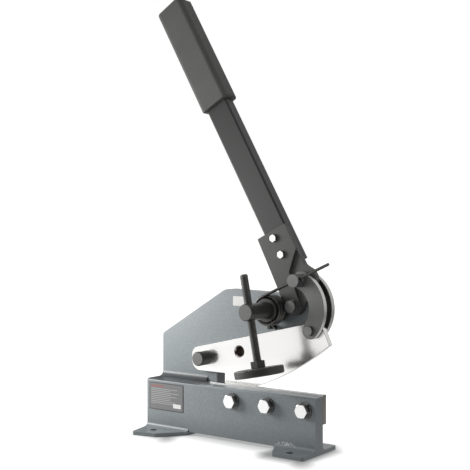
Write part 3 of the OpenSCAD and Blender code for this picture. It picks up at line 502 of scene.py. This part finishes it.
@cache
def material(name):
    """A finish of the shear by name, built once from the colours in the panel."""
    c = bpy.context.scene.shear_colours
    bright = (0.45, 0.44, 0.43, 1)
    satin = dict(grain_size=0.0012, grain_depth=0.00005)
    # The links' rims, which face across Y, take the rim colour as a painted highlight
    link = dict(metallic=0.2, grain_size=0.0008, grain_depth=0.00004, wear=0.5,
                worn_colour=(0.23, 0.227, 0.22, 1), lit_face_colour=c.rim, lit_facing=(0.3, 0.2))
    zinc = dict(metallic=0.9, grain_size=0.0012, grain_depth=0.00002, wear=0.3, worn_colour=c.zinc)
    oxide = dict(roughness=0.42, metallic=0.0, grain_size=0.0007, grain_depth=0.00004, wear=0.42,
                 worn_colour=(0.09, 0.088, 0.085, 1), specular=0.4)
    recipes = {
        "frame_enamel": (paint, "Frame Enamel", c.enamel, dict(
            roughness=0.42, grain_size=0.0022, grain_depth=0.00008, wear=0.22, coat=0.15, tone=0.1,
            painted_shade=SHADED_PLACES, flake_glint_centre=FOOT_WELD, flake_glint_colour=c.flake_glint)),
        "lever_paint": (paint, "Lever Paint", c.lever, dict(
            roughness=0.52, wear=0.28, specular=0.42, **satin)),
        "plate_paint": (paint, "Plate Paint", c.cheek, dict(
            roughness=0.55, wear=0.32, specular=0.4, speckle=1.8, **satin)),
        "link_steel": (plated, "Link Steel", c.link, dict(roughness=0.42, **link)),
        # The rear link in the dark oxide colour: painted shade in the gap behind the front link
        "inner_link": (plated, "Inner Link", c.oxide, dict(roughness=0.5, specular=0.3, **link)),
        "upper_blade": (ground_steel, "Polished Blade", c.steel, dict(
            angle=math.radians(13), roughness=0.17, end_and_shade_colour=c.sawn, oil=c.oil)),
        "lower_blade": (ground_steel, "Tool Steel", c.steel, dict(
            angle=0.0, roughness=0.2, end_and_shade_colour=c.hard)),
        "polished_blade": (ground_steel, "Turned Bush", c.steel, dict(
            angle=math.radians(45), roughness=0.3, oil=c.oil, oil_inner=0.0078, oil_outer=0.0105)),
        # Zinc heads that face along Y are bright and their flanks darker as painted shade; pins and phosphate
        # bolts have end faces painted lighter
        "zinc_plate": (plated, "Zinc Plate", tinted(c.zinc, 0.42), dict(
            roughness=0.3, lit_face_colour=c.zinc, lit_facing=(0.8, 0.86), **zinc)),
        "zinc_washer": (plated, "Zinc Washer", tinted(c.zinc, 0.13), dict(roughness=0.36, **zinc)),
        "black_oxide": (plated, "Black Oxide", c.oxide, oxide),
        "turned_pin": (plated, "Turned Pin", c.oxide, dict(lit_face_colour=tinted(c.rim, 0.24), **oxide)),
        "screw_steel": (plated, "Screw Steel", tinted(c.oxide, 3.4), dict(
            roughness=0.3, metallic=0.6, grain_size=0.0009, grain_depth=0.00003, wear=0.3,
            worn_colour=bright)),
        "dark_steel": (plated, "Dark Phosphate", c.phosphate, dict(
            roughness=0.45, metallic=0.3, grain_size=0.0015, grain_depth=0.00006, wear=0.45,
            worn_colour=(0.16, 0.158, 0.155, 1), lit_face_colour=tinted(c.rim, 0.34))),
        "spring_wire": (plated, "Spring Wire", c.wire, dict(
            roughness=0.3, metallic=0.8, grain_size=0.0006, grain_depth=0.00002, wear=0.0,
            worn_colour=bright)),
        "grip_rubber": (moulded_rubber, "Grip Rubber", c.rubber, {}),
        "rating_plate": (printed, "Rating Plate", c.plate, {}),
        "plate_border": (printed, "Plate Border", tinted(c.plate, 0.42), {}),
        "plate_header": (printed, "Plate Header", c.bar, {}),
        "plate_lines": (printed, "Plate Lines", c.print, dict(roughness=0.45)),
        "paper": (printed, "Blank Sticker", c.paper, dict(roughness=0.5)),
    }
    maker, label, colour, values = recipes[name]
    return maker(label, colour, **values)


SLOT_OF = {s["node"]: s["material_slot"] for s in frame["record"]["subparts"]}
BODY_OF = {n: body for body, nodes in frame["record"]["behaviour"]["bodies"].items() for n in nodes}


def evaluated_mesh(thing):
    """Plain mesh of an object with its modifiers applied."""
    bpy.context.view_layer.update()
    graph = bpy.context.evaluated_depsgraph_get()
    return bpy.data.meshes.new_from_object(thing.evaluated_get(graph), depsgraph=graph)


def place_object(name, data):
    """Object at the origin, in the scene."""
    thing = bpy.data.objects.new(name, data)
    bpy.context.scene.collection.objects.link(thing)
    return thing


def mesh_from(name, shape):
    """Mesh of a bmesh, which is freed."""
    mesh = bpy.data.meshes.new(name)
    shape.to_mesh(mesh)
    shape.free()
    return mesh


def show(name, mesh, finish):
    """Object at the origin that wears one finish."""
    mesh.materials.clear()
    mesh.materials.append(material(finish))
    return place_object(name, mesh)


def seat(thing, node, replaces=()):
    """Lets a piece ride with the body of a CAD node, and stand for CAD nodes."""
    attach(thing, BODY_OF[node])
    if replaces:
        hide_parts(*replaces)
    return thing


def merged(node):
    """A CAD node's shape with its points joined and its flat faces whole."""
    shape = bmesh.new()
    shape.from_mesh(frame["nodes"][node].data)
    bmesh.ops.remove_doubles(shape, verts=shape.verts, dist=4e-6)
    bmesh.ops.dissolve_limit(shape, angle_limit=math.radians(0.4), verts=shape.verts, edges=shape.edges)
    return shape


def rounded(name, shape, radius, steps):
    """Mesh with rounded edges and flats shaded flat, whose faces carry the values edge, facing and level."""
    mesh = mesh_from(name, shape)
    mesh.materials.append(None)
    mesh.materials.append(None)
    mesh.polygons.foreach_set("material_index", [0] * len(mesh.polygons))
    mesh.polygons.foreach_set("use_smooth", [True] * len(mesh.polygons))
    work = place_object(name + "_work", mesh)
    bevel = work.modifiers.new("Rounded Edges", "BEVEL")
    bevel.width = radius
    bevel.segments = steps
    bevel.limit_method = "ANGLE"
    bevel.angle_limit = math.radians(28)
    bevel.miter_outer = "MITER_ARC"
    bevel.material = 1
    work.data = evaluated_mesh(work)
    work.modifiers.clear()
    work.data.set_sharp_from_angle(angle=math.radians(35))
    work.modifiers.new("Flat Shading", "WEIGHTED_NORMAL").keep_sharp = True
    result = evaluated_mesh(work)
    bpy.data.objects.remove(work)
    values = {"edge": [float(p.material_index == 1) for p in result.polygons],
              "facing": [abs(p.normal.y) for p in result.polygons],
              "level": [min(max(2 * p.normal.z, 0.0), 1.0) for p in result.polygons]}
    for key, numbers in values.items():
        result.attributes.new(key, "FLOAT", "FACE").data.foreach_set("value", numbers)
    result.polygons.foreach_set("material_index", [0] * len(result.polygons))
    result.name = name
    return result


def dress(node, radius, finish=None, shape=None, steps=None):
    """Rounded copy of a CAD node in its finish, in the node's place."""
    steps = steps or bpy.context.scene.shear_sizes.edge_steps
    mesh = rounded(node + "_finished", shape or merged(node), radius, steps)
    thing = show(node + "_finished", mesh, finish or SLOT_OF[node])
    return seat(thing, node, replaces=[node])


def dress_all(radius, *nodes):
    """Rounded copies of several CAD nodes in the finishes of their slots."""
    for node in nodes:
        dress(node, radius)


def place_along(mesh, start, direction):
    """Turns a mesh drawn along Z from the origin to run from start in a direction."""
    turn = Vector((0, 0, 1)).rotation_difference(Vector(direction)).to_matrix().to_4x4()
    mesh.transform(Matrix.Translation(start) @ turn)
    return mesh


def grow(tree, values, name):
    """Plain mesh made by a geometry tree, with its named inputs set by identifier."""
    work = place_object(name + "_work", bpy.data.meshes.new(name + "_work"))
    modifier = work.modifiers.new("Made", "NODES")
    modifier.node_group = tree
    for item in tree.interface.items_tree:
        if item.item_type == "SOCKET" and item.in_out == "INPUT" and item.name in values:
            modifier[item.identifier] = values[item.name]
    mesh = evaluated_mesh(work)
    work.modifiers.clear()
    bpy.data.objects.remove(work)
    mesh.name = name
    return mesh


def shape_node(tree, kind, values=(), **settings):
    """First output of a geometry node."""
    return add_node(tree, "GeometryNode" + kind, values, **settings).outputs[0]


def geometry_tree(name, inputs):
    """A geometry tree with a material input, which ends in Realize Instances and Set Material."""
    tree, given, result = node_group("GeometryNodeTree", name, {**inputs, "Material": "Material"},
                                     {"Geometry": "Geometry"})
    real = tree.nodes.new("GeometryNodeRealizeInstances")
    finish = shape_node(tree, "SetMaterial", {"Geometry": real.outputs[0], "Material": given["Material"]})
    tree.links.new(finish, result["Geometry"])
    return tree, given, real.inputs[0]


def sweep(tree, result, curve, sides, radius, smooth, **values):
    """Ends a tree with a round section swept along a curve, closed at both ends."""
    section = shape_node(tree, "CurvePrimitiveCircle", {"Resolution": sides, "Radius": radius}, mode="RADIUS")
    body = shape_node(tree, "CurveToMesh",
        {"Curve": curve, "Profile Curve": section, "Fill Caps": True, **values})
    tree.links.new(shape_node(tree, "SetShadeSmooth", {"Geometry": body, "Shade Smooth": smooth}), result)
    return tree


@cache
def thread_tree():
    """Screw thread along Z: a V ridge wound round, which fades in at both ends."""
    tree, given, result = geometry_tree("Screw Thread",
        {"Core Radius": 0.005, "Depth": 0.0008, "Pitch": 0.00175, "Length": 0.1})
    turns = math_node(tree, "DIVIDE", given["Length"], given["Pitch"])
    wound = shape_node(tree, "CurveSpiral", {"Resolution": 24, "Rotations": turns,
        "Start Radius": given["Core Radius"], "End Radius": given["Core Radius"], "Height": given["Length"]})
    upright = shape_node(tree, "SetCurveNormal", {"Curve": wound}, mode="Z_UP")
    along = shape_node(tree, "SplineParameter")
    to_end = math_node(tree, "MINIMUM", along, difference(tree, 1.0, along))
    fade = math_node(tree, "MULTIPLY", product(tree, to_end, turns), 1.6, clamp=True)
    faded = shape_node(tree, "SetCurveRadius", {"Curve": upright, "Radius": fade})
    return sweep(tree, result, faded, 4, given["Depth"], False, Scale=shape_node(tree, "InputRadius"))


@cache
def wire_tree():
    """Bent wire: a straight arm, a wound coil and a straight leg on one line, laid by a formula."""
    tree, given, result = geometry_tree("Spring Wire", {"Centre": "Vector", "Coil Radius": 0.02,
        "Pitch": 0.0045, "Arm": 0.12, "Leg": 0.02, "Arm Angle": 2.0, "Wound": 27.0, "Wire Radius": 0.002,
        "Sides": 12, "Points": 480})
    coil = product(tree, given["Wound"], given["Coil Radius"])
    whole = math_node(tree, "ADD", math_node(tree, "ADD", given["Arm"], given["Leg"]), coil)
    run = difference(tree, product(tree, shape_node(tree, "SplineParameter"), whole), given["Arm"])
    turned = product(tree, math_node(tree, "DIVIDE", run, coil, clamp=True), given["Wound"])
    arm_left = largest(tree, product(tree, run, -1.0), 0.0)
    leg_done = largest(tree, difference(tree, run, coil), 0.0)
    straight = difference(tree, arm_left, leg_done)
    angle = math_node(tree, "ADD", given["Arm Angle"], turned)
    cosine = math_node(tree, "COSINE", angle)
    sine = math_node(tree, "SINE", angle)
    advance = product(tree, math_node(tree, "DIVIDE", turned, 2 * math.pi), given["Pitch"])
    round_part = combined(tree, X=product(tree, cosine, given["Coil Radius"]), Y=advance,
                          Z=product(tree, sine, given["Coil Radius"]))
    straight_part = combined(tree, X=product(tree, sine, straight), Z=product(tree, cosine, straight, -1.0))
    place = vector_node(tree, "ADD", given["Centre"], vector_node(tree, "ADD", round_part, straight_part))
    line = shape_node(tree, "CurvePrimitiveLine")
    points = shape_node(tree, "ResampleCurve", {"Curve": line, "Count": given["Points"]})
    bent = shape_node(tree, "SetPosition", {"Geometry": points, "Position": place})
    return sweep(tree, result, bent, given["Sides"], given["Wire Radius"], True)


@cache
def rules_tree():
    """Ruled lines: thin bars under each other, each as long as a fixed seed says."""
    tree, given, result = geometry_tree("Ruled Lines", {"Start": "Vector", "Count": 6, "Spacing": 0.004,
        "Shortest": 0.04, "Longest": 0.06, "Line Width": 0.0006, "Thickness": 0.0001, "Seed": 3})
    down = combined(tree, Z=product(tree, given["Spacing"], -1.0))
    rows = shape_node(tree, "MeshLine",
        {"Count": given["Count"], "Start Location": given["Start"], "Offset": down}, mode="OFFSET")
    cube = shape_node(tree, "MeshCube")
    bar = shape_node(tree, "Transform", {"Geometry": cube, "Translation": (0.5, 0, 0)})
    length = add_node(tree, "FunctionNodeRandomValue",
        {2: given["Shortest"], 3: given["Longest"], "Seed": given["Seed"]}, data_type="FLOAT").outputs[1]
    size = combined(tree, X=length, Y=given["Thickness"], Z=given["Line Width"])
    bars = shape_node(tree, "InstanceOnPoints", {"Points": rows, "Instance": bar, "Scale": size})
    tree.links.new(bars, result)
    return tree


def thread_mesh(name, diameter, length, start, direction, finish):
    """Thread ridge of a nominal diameter from start, length in mm."""
    pitch, depth = THREADS[diameter][:2]
    # The diamond that is wound reaches a little into the core, so that no gap shows between the turns
    ridge = 0.5 * depth + 0.12 * pitch
    mesh = grow(thread_tree(), {"Core Radius": (diameter / 2 - ridge) / 1000, "Depth": ridge / 1000,
        "Pitch": pitch / 1000, "Length": length / 1000, "Material": material(finish)}, name)
    return place_along(mesh, start, direction)


def narrowed_tail(shape, axis, diameter, start):
    """Draws a shank in to its thread's core behind the plane y = start, in mm."""
    core_share = THREADS[diameter][1] / (diameter / 2)
    centre = on_axis(axis, start)
    run_out = 0.0008
    margin = 0.0001
    for y in (centre.y, centre.y + run_out):
        bmesh.ops.bisect_plane(shape, geom=shape.verts[:] + shape.edges[:] + shape.faces[:],
            plane_co=(0, y, 0), plane_no=(0, 1, 0), dist=1e-7)
    for v in shape.verts:
        off = Vector((v.co.x - centre.x, 0, v.co.z - centre.z))
        if v.co.y > centre.y + run_out - margin and off.length < diameter / 2000 + margin:
            v.co -= off * core_share
    return shape


def threaded_pin(node, thread, diameter, axis, start, radius, finish, thread_finish):
    """Finished pin with a thread from the plane y = start, in mm, to short of its rear end."""
    dress(node, radius, finish, narrowed_tail(merged(node), axis, diameter, start))
    first = on_axis(axis, start)
    length = (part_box(node)[1].y - first.y) * 1000 - THREADS[diameter][2]
    mesh = thread_mesh(thread, diameter, length, first, (0, 1, 0), thread_finish)
    seat(show(thread, mesh, thread_finish), node)


def inside_nut(nut):
    """Plane y of the drawing, in mm, that lies 1 mm inside a nut's front face."""
    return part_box(nut)[0].y * 1000 + DRAWING_ORIGIN.y + 1


def stick(name, finish, across, up, front, thickness, corner, edge):
    """Thin plate with round corners on the frame: its ends across and up, its front face and sizes in mm."""
    shape = bmesh.new()
    outline = []
    steps = 6
    left, right = across[0] + corner, across[1] - corner
    low, high = up[0] + corner, up[1] - corner
    for quarter, (x, z) in enumerate(((right, high), (left, high), (left, low), (right, low))):
        for step in range(steps + 1):
            a = math.radians(90 * (quarter + step / steps))
            point = at(x + corner * math.cos(a), front + thickness, z + corner * math.sin(a))
            outline.append(shape.verts.new(point))
    face = shape.faces.new(outline)
    pushed = bmesh.ops.extrude_face_region(shape, geom=[face])["geom"]
    for v in pushed:
        if isinstance(v, bmesh.types.BMVert):
            v.co.y -= thickness / 1000
    bmesh.ops.recalc_face_normals(shape, faces=shape.faces)
    seat(show(name, rounded(name, shape, edge / 1000, 2), finish), "frame_casting")


class SHEAR_OT_frame(Operator):
    """Dress the cast frame in enamel with soft edges"""
    bl_idname = "shear.frame"
    bl_label = "Frame"

    def execute(self, context):
        dress("frame_casting", context.scene.shear_sizes.frame_edge)
        return {"FINISHED"}


class SHEAR_OT_blades(Operator):
    """Grind the two blades and the bar bush"""
    bl_idname = "shear.blades"
    bl_label = "Blades"

    def execute(self, context):
        edge = context.scene.shear_sizes.blade_edge
        dress("upper_blade", edge, "upper_blade")
        dress("lower_blade", edge, "lower_blade")
        dress("bar_die_bush", edge)
        return {"FINISHED"}


class SHEAR_OT_rail_bolts(Operator):
    """Fit the zinc bolts and washers of the lower blade"""
    bl_idname = "shear.rail_bolts"
    bl_label = "Rail Bolts"

    def execute(self, context):
        edge = context.scene.shear_sizes.bolt_edge
        dress("lower_blade_bolts", edge * 1.4)
        dress("lower_blade_washers", edge, "zinc_washer")
        return {"FINISHED"}


class SHEAR_OT_blade_pivot(Operator):
    """Fit the blade's pivot pin with its threaded tail, washer and nut"""
    bl_idname = "shear.blade_pivot"
    bl_label = "Blade Pivot"

    def execute(self, context):
        sizes = context.scene.shear_sizes
        threaded_pin("blade_pivot_pin", "blade_pivot_thread", 16, BLADE_PIVOT, PLATE_BACK + 4,
                     sizes.turned_edge, "turned_pin", "black_oxide")
        dress_all(sizes.bolt_edge, "blade_pivot_washer", "blade_pivot_nut")
        return {"FINISHED"}


class SHEAR_OT_links(Operator):
    """Finish the two bowed links, their screws and the pin in the blade"""
    bl_idname = "shear.links"
    bl_label = "Links"

    def execute(self, context):
        sizes = context.scene.shear_sizes
        dress("front_link", sizes.plate_edge)
        # The rear link wears a darker finish as painted shade between the links
        dress("rear_link", sizes.plate_edge, "inner_link")
        dress("link_screws", sizes.bolt_edge * 1.2)
        dress("blade_link_pin", sizes.turned_edge * 0.5)
        return {"FINISHED"}


class SHEAR_OT_link_stud(Operator):
    """Finish the slotted link pin, its spacers, its thread and its nut"""
    bl_idname = "shear.link_stud"
    bl_label = "Link Pin"

    def execute(self, context):
        edge = context.scene.shear_sizes.bolt_edge
        threaded_pin("link_stud", "link_stud_thread", 12, LINK_PIN, inside_nut("link_stud_nut"),
                     edge, "dark_steel", "dark_steel")
        dress("link_stud_nut", edge)
        dress("link_spacers", edge * 0.5)
        return {"FINISHED"}


class SHEAR_OT_lever(Operator):
    """Paint the lever's tube, cam plate and cheek plate"""
    bl_idname = "shear.lever"
    bl_label = "Lever"

    def execute(self, context):
        sizes = context.scene.shear_sizes
        dress("lever_tube", sizes.plate_edge * 0.5)
        dress("cam_plate", sizes.plate_edge, "plate_paint")
        dress("cheek_plate", sizes.plate_edge, "plate_paint")
        dress("lever_bush", sizes.turned_edge * 0.4)
        return {"FINISHED"}


class SHEAR_OT_grip(Operator):
    """Mould the rubber grip with round ends"""
    bl_idname = "shear.grip"
    bl_label = "Grip"

    def execute(self, context):
        dress("lever_grip", context.scene.shear_sizes.grip_edge, steps=5)
        return {"FINISHED"}


class SHEAR_OT_lever_bolts(Operator):
    """Fit the two lever bolts, the lever's pivot bolt and their nuts"""
    bl_idname = "shear.lever_bolts"
    bl_label = "Lever Bolts"

    def execute(self, context):
        edge = context.scene.shear_sizes.bolt_edge
        dress_all(edge, "lever_bolts", "lever_nuts", "lever_pivot_washers", "lever_pivot_nut")
        threaded_pin("lever_pivot_bolt", "lever_pivot_thread", 10, LEVER_PIVOT, PLATE_BACK + 3,
                     edge * 1.3, "dark_steel", "dark_steel")
        return {"FINISHED"}


class SHEAR_OT_hold_down(Operator):
    """Finish the hold-down's sleeve, rod, washer, nut and stop pin"""
    bl_idname = "shear.hold_down"
    bl_label = "Hold-Down"

    def execute(self, context):
        sizes = context.scene.shear_sizes
        dress("hold_down_sleeve", sizes.turned_edge)
        threaded_pin("hold_down_rod", "hold_down_rod_thread", 16, ROD, inside_nut("hold_down_rod_nut"),
                     sizes.turned_edge, "turned_pin", "black_oxide")
        dress_all(sizes.bolt_edge, "hold_down_rod_washer", "hold_down_rod_nut")
        dress("spring_stop_pin", sizes.turned_edge * 0.5)
        return {"FINISHED"}


class SHEAR_OT_clamp_screw(Operator):
    """Cut the clamp screw's thread and finish its nut and pad"""
    bl_idname = "shear.clamp_screw"
    bl_label = "Clamp Screw"

    def execute(self, context):
        sizes = context.scene.shear_sizes
        along = Vector((-math.sin(SCREW_LEAN), 0, math.cos(SCREW_LEAN)))
        middle = on_axis(ROD, SCREW_MIDDLE)
        length = SCREW_HIGH - SCREW_LOW
        diameter = 12
        depth, bare_end = THREADS[diameter][1:]
        bare_start = 0.2
        core_radius = (diameter / 2 - depth) / 1000
        core = bmesh.new()
        bmesh.ops.create_cone(core, cap_ends=True, segments=40, radius1=core_radius, radius2=core_radius,
            depth=length / 1000)
        bmesh.ops.translate(core, verts=core.verts, vec=(0, 0, length / 2000))
        core_mesh = rounded("screw_core", core, 0.0006, 3)
        place_along(core_mesh, middle + along * SCREW_LOW / 1000, along)
        first = middle + along * (SCREW_LOW + bare_start) / 1000
        length -= bare_start + bare_end
        thread = thread_mesh("screw_thread", diameter, length, first, along, "screw_steel")
        whole = bmesh.new()
        whole.from_mesh(core_mesh)
        whole.from_mesh(thread)
        screw = show("clamp_screw", mesh_from("clamp_screw", whole), "screw_steel")
        seat(screw, "hold_down_screw", replaces=["hold_down_screw"])
        dress("hold_down_nut", sizes.bolt_edge)
        dress("hold_down_pad", sizes.pad_edge)
        return {"FINISHED"}


class SHEAR_OT_spring(Operator):
    """Wind the return spring, which twists between its arm and its fixed leg"""
    bl_idname = "shear.spring"
    bl_label = "Return Spring"

    def execute(self, context):
        sizes = context.scene.shear_sizes
        wound = LEG_ANGLE - ARM_ANGLE
        centre = on_axis(ROD, SPRING_FRONT)
        values = {"Centre": centre, "Coil Radius": sizes.coil, "Pitch": sizes.coil_pitch, "Arm": sizes.arm,
            "Leg": sizes.leg, "Arm Angle": ARM_ANGLE, "Wound": wound, "Wire Radius": sizes.wire,
            "Sides": sizes.wire_sides, "Points": sizes.wire_points, "Material": material("spring_wire")}
        mesh = grow(wire_tree(), values, "return_spring_wound")
        spring = show("return_spring_wound", mesh, "spring_wire")
        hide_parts("return_spring")
        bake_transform(spring)
        return {"FINISHED"}


class SHEAR_OT_labels(Operator):
    """Stick the bare rating plate and the blank sticker on the frame"""
    bl_idname = "shear.labels"
    bl_label = "Blank Labels"

    def execute(self, context):
        thick = context.scene.shear_sizes.label_thickness * 1000
        front = -thick - 0.06
        # Name, finish, left and right, bottom and top, front face, thickness, corner radius, edge radius
        stick("rating_plate", "plate_border", (4.9, 74.5), (32.5, 75.2), -thick, thick, 1.5, 0.12)
        stick("plate_field", "rating_plate", (6.5, 72.9), (34.1, 73.6), front, 0.06, 0.8, 0.02)
        stick("plate_header", "plate_header", (8.5, 35), (68, 71.5), front - 0.04, 0.05, 0.4, 0.015)
        rules = grow(rules_tree(), {"Start": at(9, front, 65.5), "Count": 9, "Spacing": 0.0028,
            "Shortest": 0.036, "Longest": 0.06, "Line Width": 0.0009, "Thickness": 0.0001, "Seed": 4,
            "Material": material("plate_lines")}, "plate_rules")
        seat(show("plate_rules", rules, "plate_lines"), "frame_casting")
        stick("plate_blank", "paper", (54, 69.5), (38.2, 44.6), front - 0.1, 0.11, 0.6, 0.03)
        stick("blank_sticker", "paper", (141, 162), (198.3, 212.8), PLATE_FRONT - 0.25, 0.25, 0.8, 0.06)
        return {"FINISHED"}


class SHEAR_OT_stage(Operator):
    """Set the floor, the soft studio light and the camera"""
    bl_idname = "shear.stage"
    bl_label = "Studio"

    def execute(self, context):
        context.scene.view_settings.view_transform = "Standard"
        self.floor()
        self.surroundings(context.scene)
        self.lamp("key_lamp", (-0.508, -0.294, 0.275), size=0.3, power=3.5)
        dark = bpy.data.materials.new("Dark Card")
        dark.use_nodes = True
        shader = dark.node_tree.nodes["Principled BSDF"]
        shader.inputs["Base Color"].default_value = (0.04, 0.04, 0.045, 1)
        shader.inputs["Roughness"].default_value = 1.0
        self.card("front_card", dark, (1.0, -1.3, 0.9), width=2.4, height=2.2)
        self.card("low_card", dark, (0.45, 0.45, 0.07), width=1.2, height=0.14)
        self.card("back_card", dark, (-1.35, 1.15, 0.42), width=0.75, height=0.8)
        camera = place_object("photo_camera", bpy.data.cameras.new("photo_camera"))
        camera.data.lens = CAMERA_LENS
        camera.data.sensor_width = 36
        camera.data.clip_start = 0.05
        camera.location = CAMERA_PLACE
        camera.rotation_euler = (CAMERA_PITCH, 0, CAMERA_TURN)
        context.scene.camera = camera
        return {"FINISHED"}

    def flat_mesh(self, name, width, height, turn, segments=1):
        """A flat card's mesh, from its size and its place."""
        shape = bmesh.new()
        bmesh.ops.create_grid(shape, x_segments=segments, y_segments=segments, size=0.5)
        bmesh.ops.scale(shape, verts=shape.verts, vec=(width, height, 1))
        shape.transform(turn)
        return mesh_from(name, shape)

    def seen_white(self, tree):
        """Share of rays that see the pale background: camera, glossy and transmission."""
        light = tree.nodes.new("ShaderNodeLightPath").outputs
        return largest(tree, *(light["Is %s Ray" % kind] for kind in ("Camera", "Glossy", "Transmission")))

    def glow(self, tree, place, middle, half, reach, lowest):
        """Painted floor shadow round a box: the floor's glow is lowest inside and 1 beyond the reach, which
        lies along the camera's turn.
        """
        off = vector_node(tree, "SUBTRACT", place, middle)
        near = vector_node(tree, "MINIMUM", off, half)
        near = vector_node(tree, "MAXIMUM", near, tuple(-h for h in half))
        outside = {"Vector": vector_node(tree, "SUBTRACT", off, near), "Rotation": (0, 0, CAMERA_TURN),
                   "Scale": (*reach, 1)}
        turned = add_node(tree, "ShaderNodeMapping", outside, vector_type="TEXTURE").outputs["Vector"]
        distance = vector_node(tree, "LENGTH", turned, output="Value")
        return ramp(tree, distance, 0.0, 1.0, lowest, 1.0, interpolation_type="SMOOTHSTEP")

    def floor(self):
        """White floor with a painted soft shadow round the feet and rail, where its glow is lowered; its
        diffuse part keeps the real shadow.
        """
        mesh = self.flat_mesh("floor", width=24, height=24, turn=Matrix(), segments=2)
        ground = place_object("floor", mesh)
        ground.location.z = -0.0002
        finish = bpy.data.materials.new("Studio Floor")
        tree = empty_tree(finish)
        place = tree.nodes.new("ShaderNodeTexCoord").outputs["Object"]
        # Painted shadow: the glow that the camera sees is lowered under the rail and round both feet
        painted_shadow = self.glow(tree, place, (0, 0, 0), half=(0.13, 0.006, 1), reach=(0.035, 0.16), lowest=0.35)
        for foot_x in (-0.1185, 0.1185):
            foot = self.glow(tree, place, (foot_x, 0, 0), half=(0.024, 0.034, 1), reach=(0.036, 0.09),
                             lowest=0.0)
            painted_shadow = math_node(tree, "MINIMUM", painted_shadow, foot)
        camera = tree.nodes.new("ShaderNodeLightPath").outputs["Is Camera Ray"]
        strength = product(tree, self.seen_white(tree), spread(tree, camera, 0.75, painted_shadow))
        white = add_node(tree, "ShaderNodeBsdfDiffuse", {"Color": (0.6, 0.6, 0.6, 1)})
        glow = add_node(tree, "ShaderNodeEmission", {"Color": (1, 1, 1, 1), "Strength": strength})
        both = add_node(tree, "ShaderNodeAddShader", {0: white.outputs[0], 1: glow.outputs[0]})
        add_node(tree, "ShaderNodeOutputMaterial", {"Surface": both.outputs[0]})
        mesh.materials.append(finish)

    def surroundings(self, scene):
        """Plain soft light from all round, seen as white."""
        scene.world = bpy.data.worlds.new("Studio")
        tree = empty_tree(scene.world)
        strength = spread(tree, self.seen_white(tree), 0.3, 1.0)
        sky = add_node(tree, "ShaderNodeBackground", {"Color": (1, 1, 1, 1), "Strength": strength})
        add_node(tree, "ShaderNodeOutputWorld", {"Surface": sky.outputs[0]})

    def card(self, name, finish, place, width, height):
        """Card seen only in reflections, that gives metal its dark lines."""
        turn = (Vector((0, 0, place[2])) - Vector(place)).to_track_quat("Z", "Y").to_matrix().to_4x4()
        mesh = self.flat_mesh(name, width, height, Matrix.Translation(place) @ turn)
        mesh.materials.append(finish)
        card = place_object(name, mesh)
        card.visible_camera = False
        card.visible_diffuse = False
        card.visible_shadow = False

    def lamp(self, name, place, size, power):
        """Round soft lamp that points at the middle of the shear."""
        light = bpy.data.lights.new(name, "AREA")
        light.shape = "DISK"
        light.size = size
        light.energy = power
        lamp = place_object(name, light)
        lamp.location = place
        lamp.rotation_euler = (Vector((0, 0, 0.25)) - Vector(place)).to_track_quat("-Z", "Y").to_euler()
        lamp.visible_camera = False


OPERATORS = (SHEAR_OT_frame, SHEAR_OT_blades, SHEAR_OT_rail_bolts, SHEAR_OT_blade_pivot, SHEAR_OT_links,
             SHEAR_OT_link_stud, SHEAR_OT_lever, SHEAR_OT_grip, SHEAR_OT_lever_bolts, SHEAR_OT_hold_down,
             SHEAR_OT_clamp_screw, SHEAR_OT_spring, SHEAR_OT_labels, SHEAR_OT_stage)


class SHEAR_PT_panel(Panel):
    """Sizes, colours and pieces of the shear"""
    bl_idname = "SHEAR_PT_panel"
    bl_label = "Bench Lever Shear"
    bl_space_type = "VIEW_3D"
    bl_region_type = "UI"
    bl_category = "Shear"

    def draw(self, context):
        for group in (context.scene.shear_sizes, context.scene.shear_colours):
            column = self.layout.column(align=True)
            for name in group.bl_rna.properties.keys():
                if name not in ("rna_type", "name"):
                    column.prop(group, name)
        column = self.layout.column(align=True)
        for operator in OPERATORS:
            column.operator(operator.bl_idname)


CLASSES = (ShearSizes, ShearColours) + OPERATORS + (SHEAR_PT_panel,)


def register():
    for cls in CLASSES:
        bpy.utils.register_class(cls)
    bpy.types.Scene.shear_sizes = PointerProperty(type=ShearSizes)
    bpy.types.Scene.shear_colours = PointerProperty(type=ShearColours)


def unregister():
    del bpy.types.Scene.shear_colours
    del bpy.types.Scene.shear_sizes
    for cls in reversed(CLASSES):
        bpy.utils.unregister_class(cls)


def main():
    register()
    for operator in OPERATORS:
        getattr(bpy.ops.shear, operator.bl_idname.split(".")[1])()


if __name__ == "__main__":
    main()
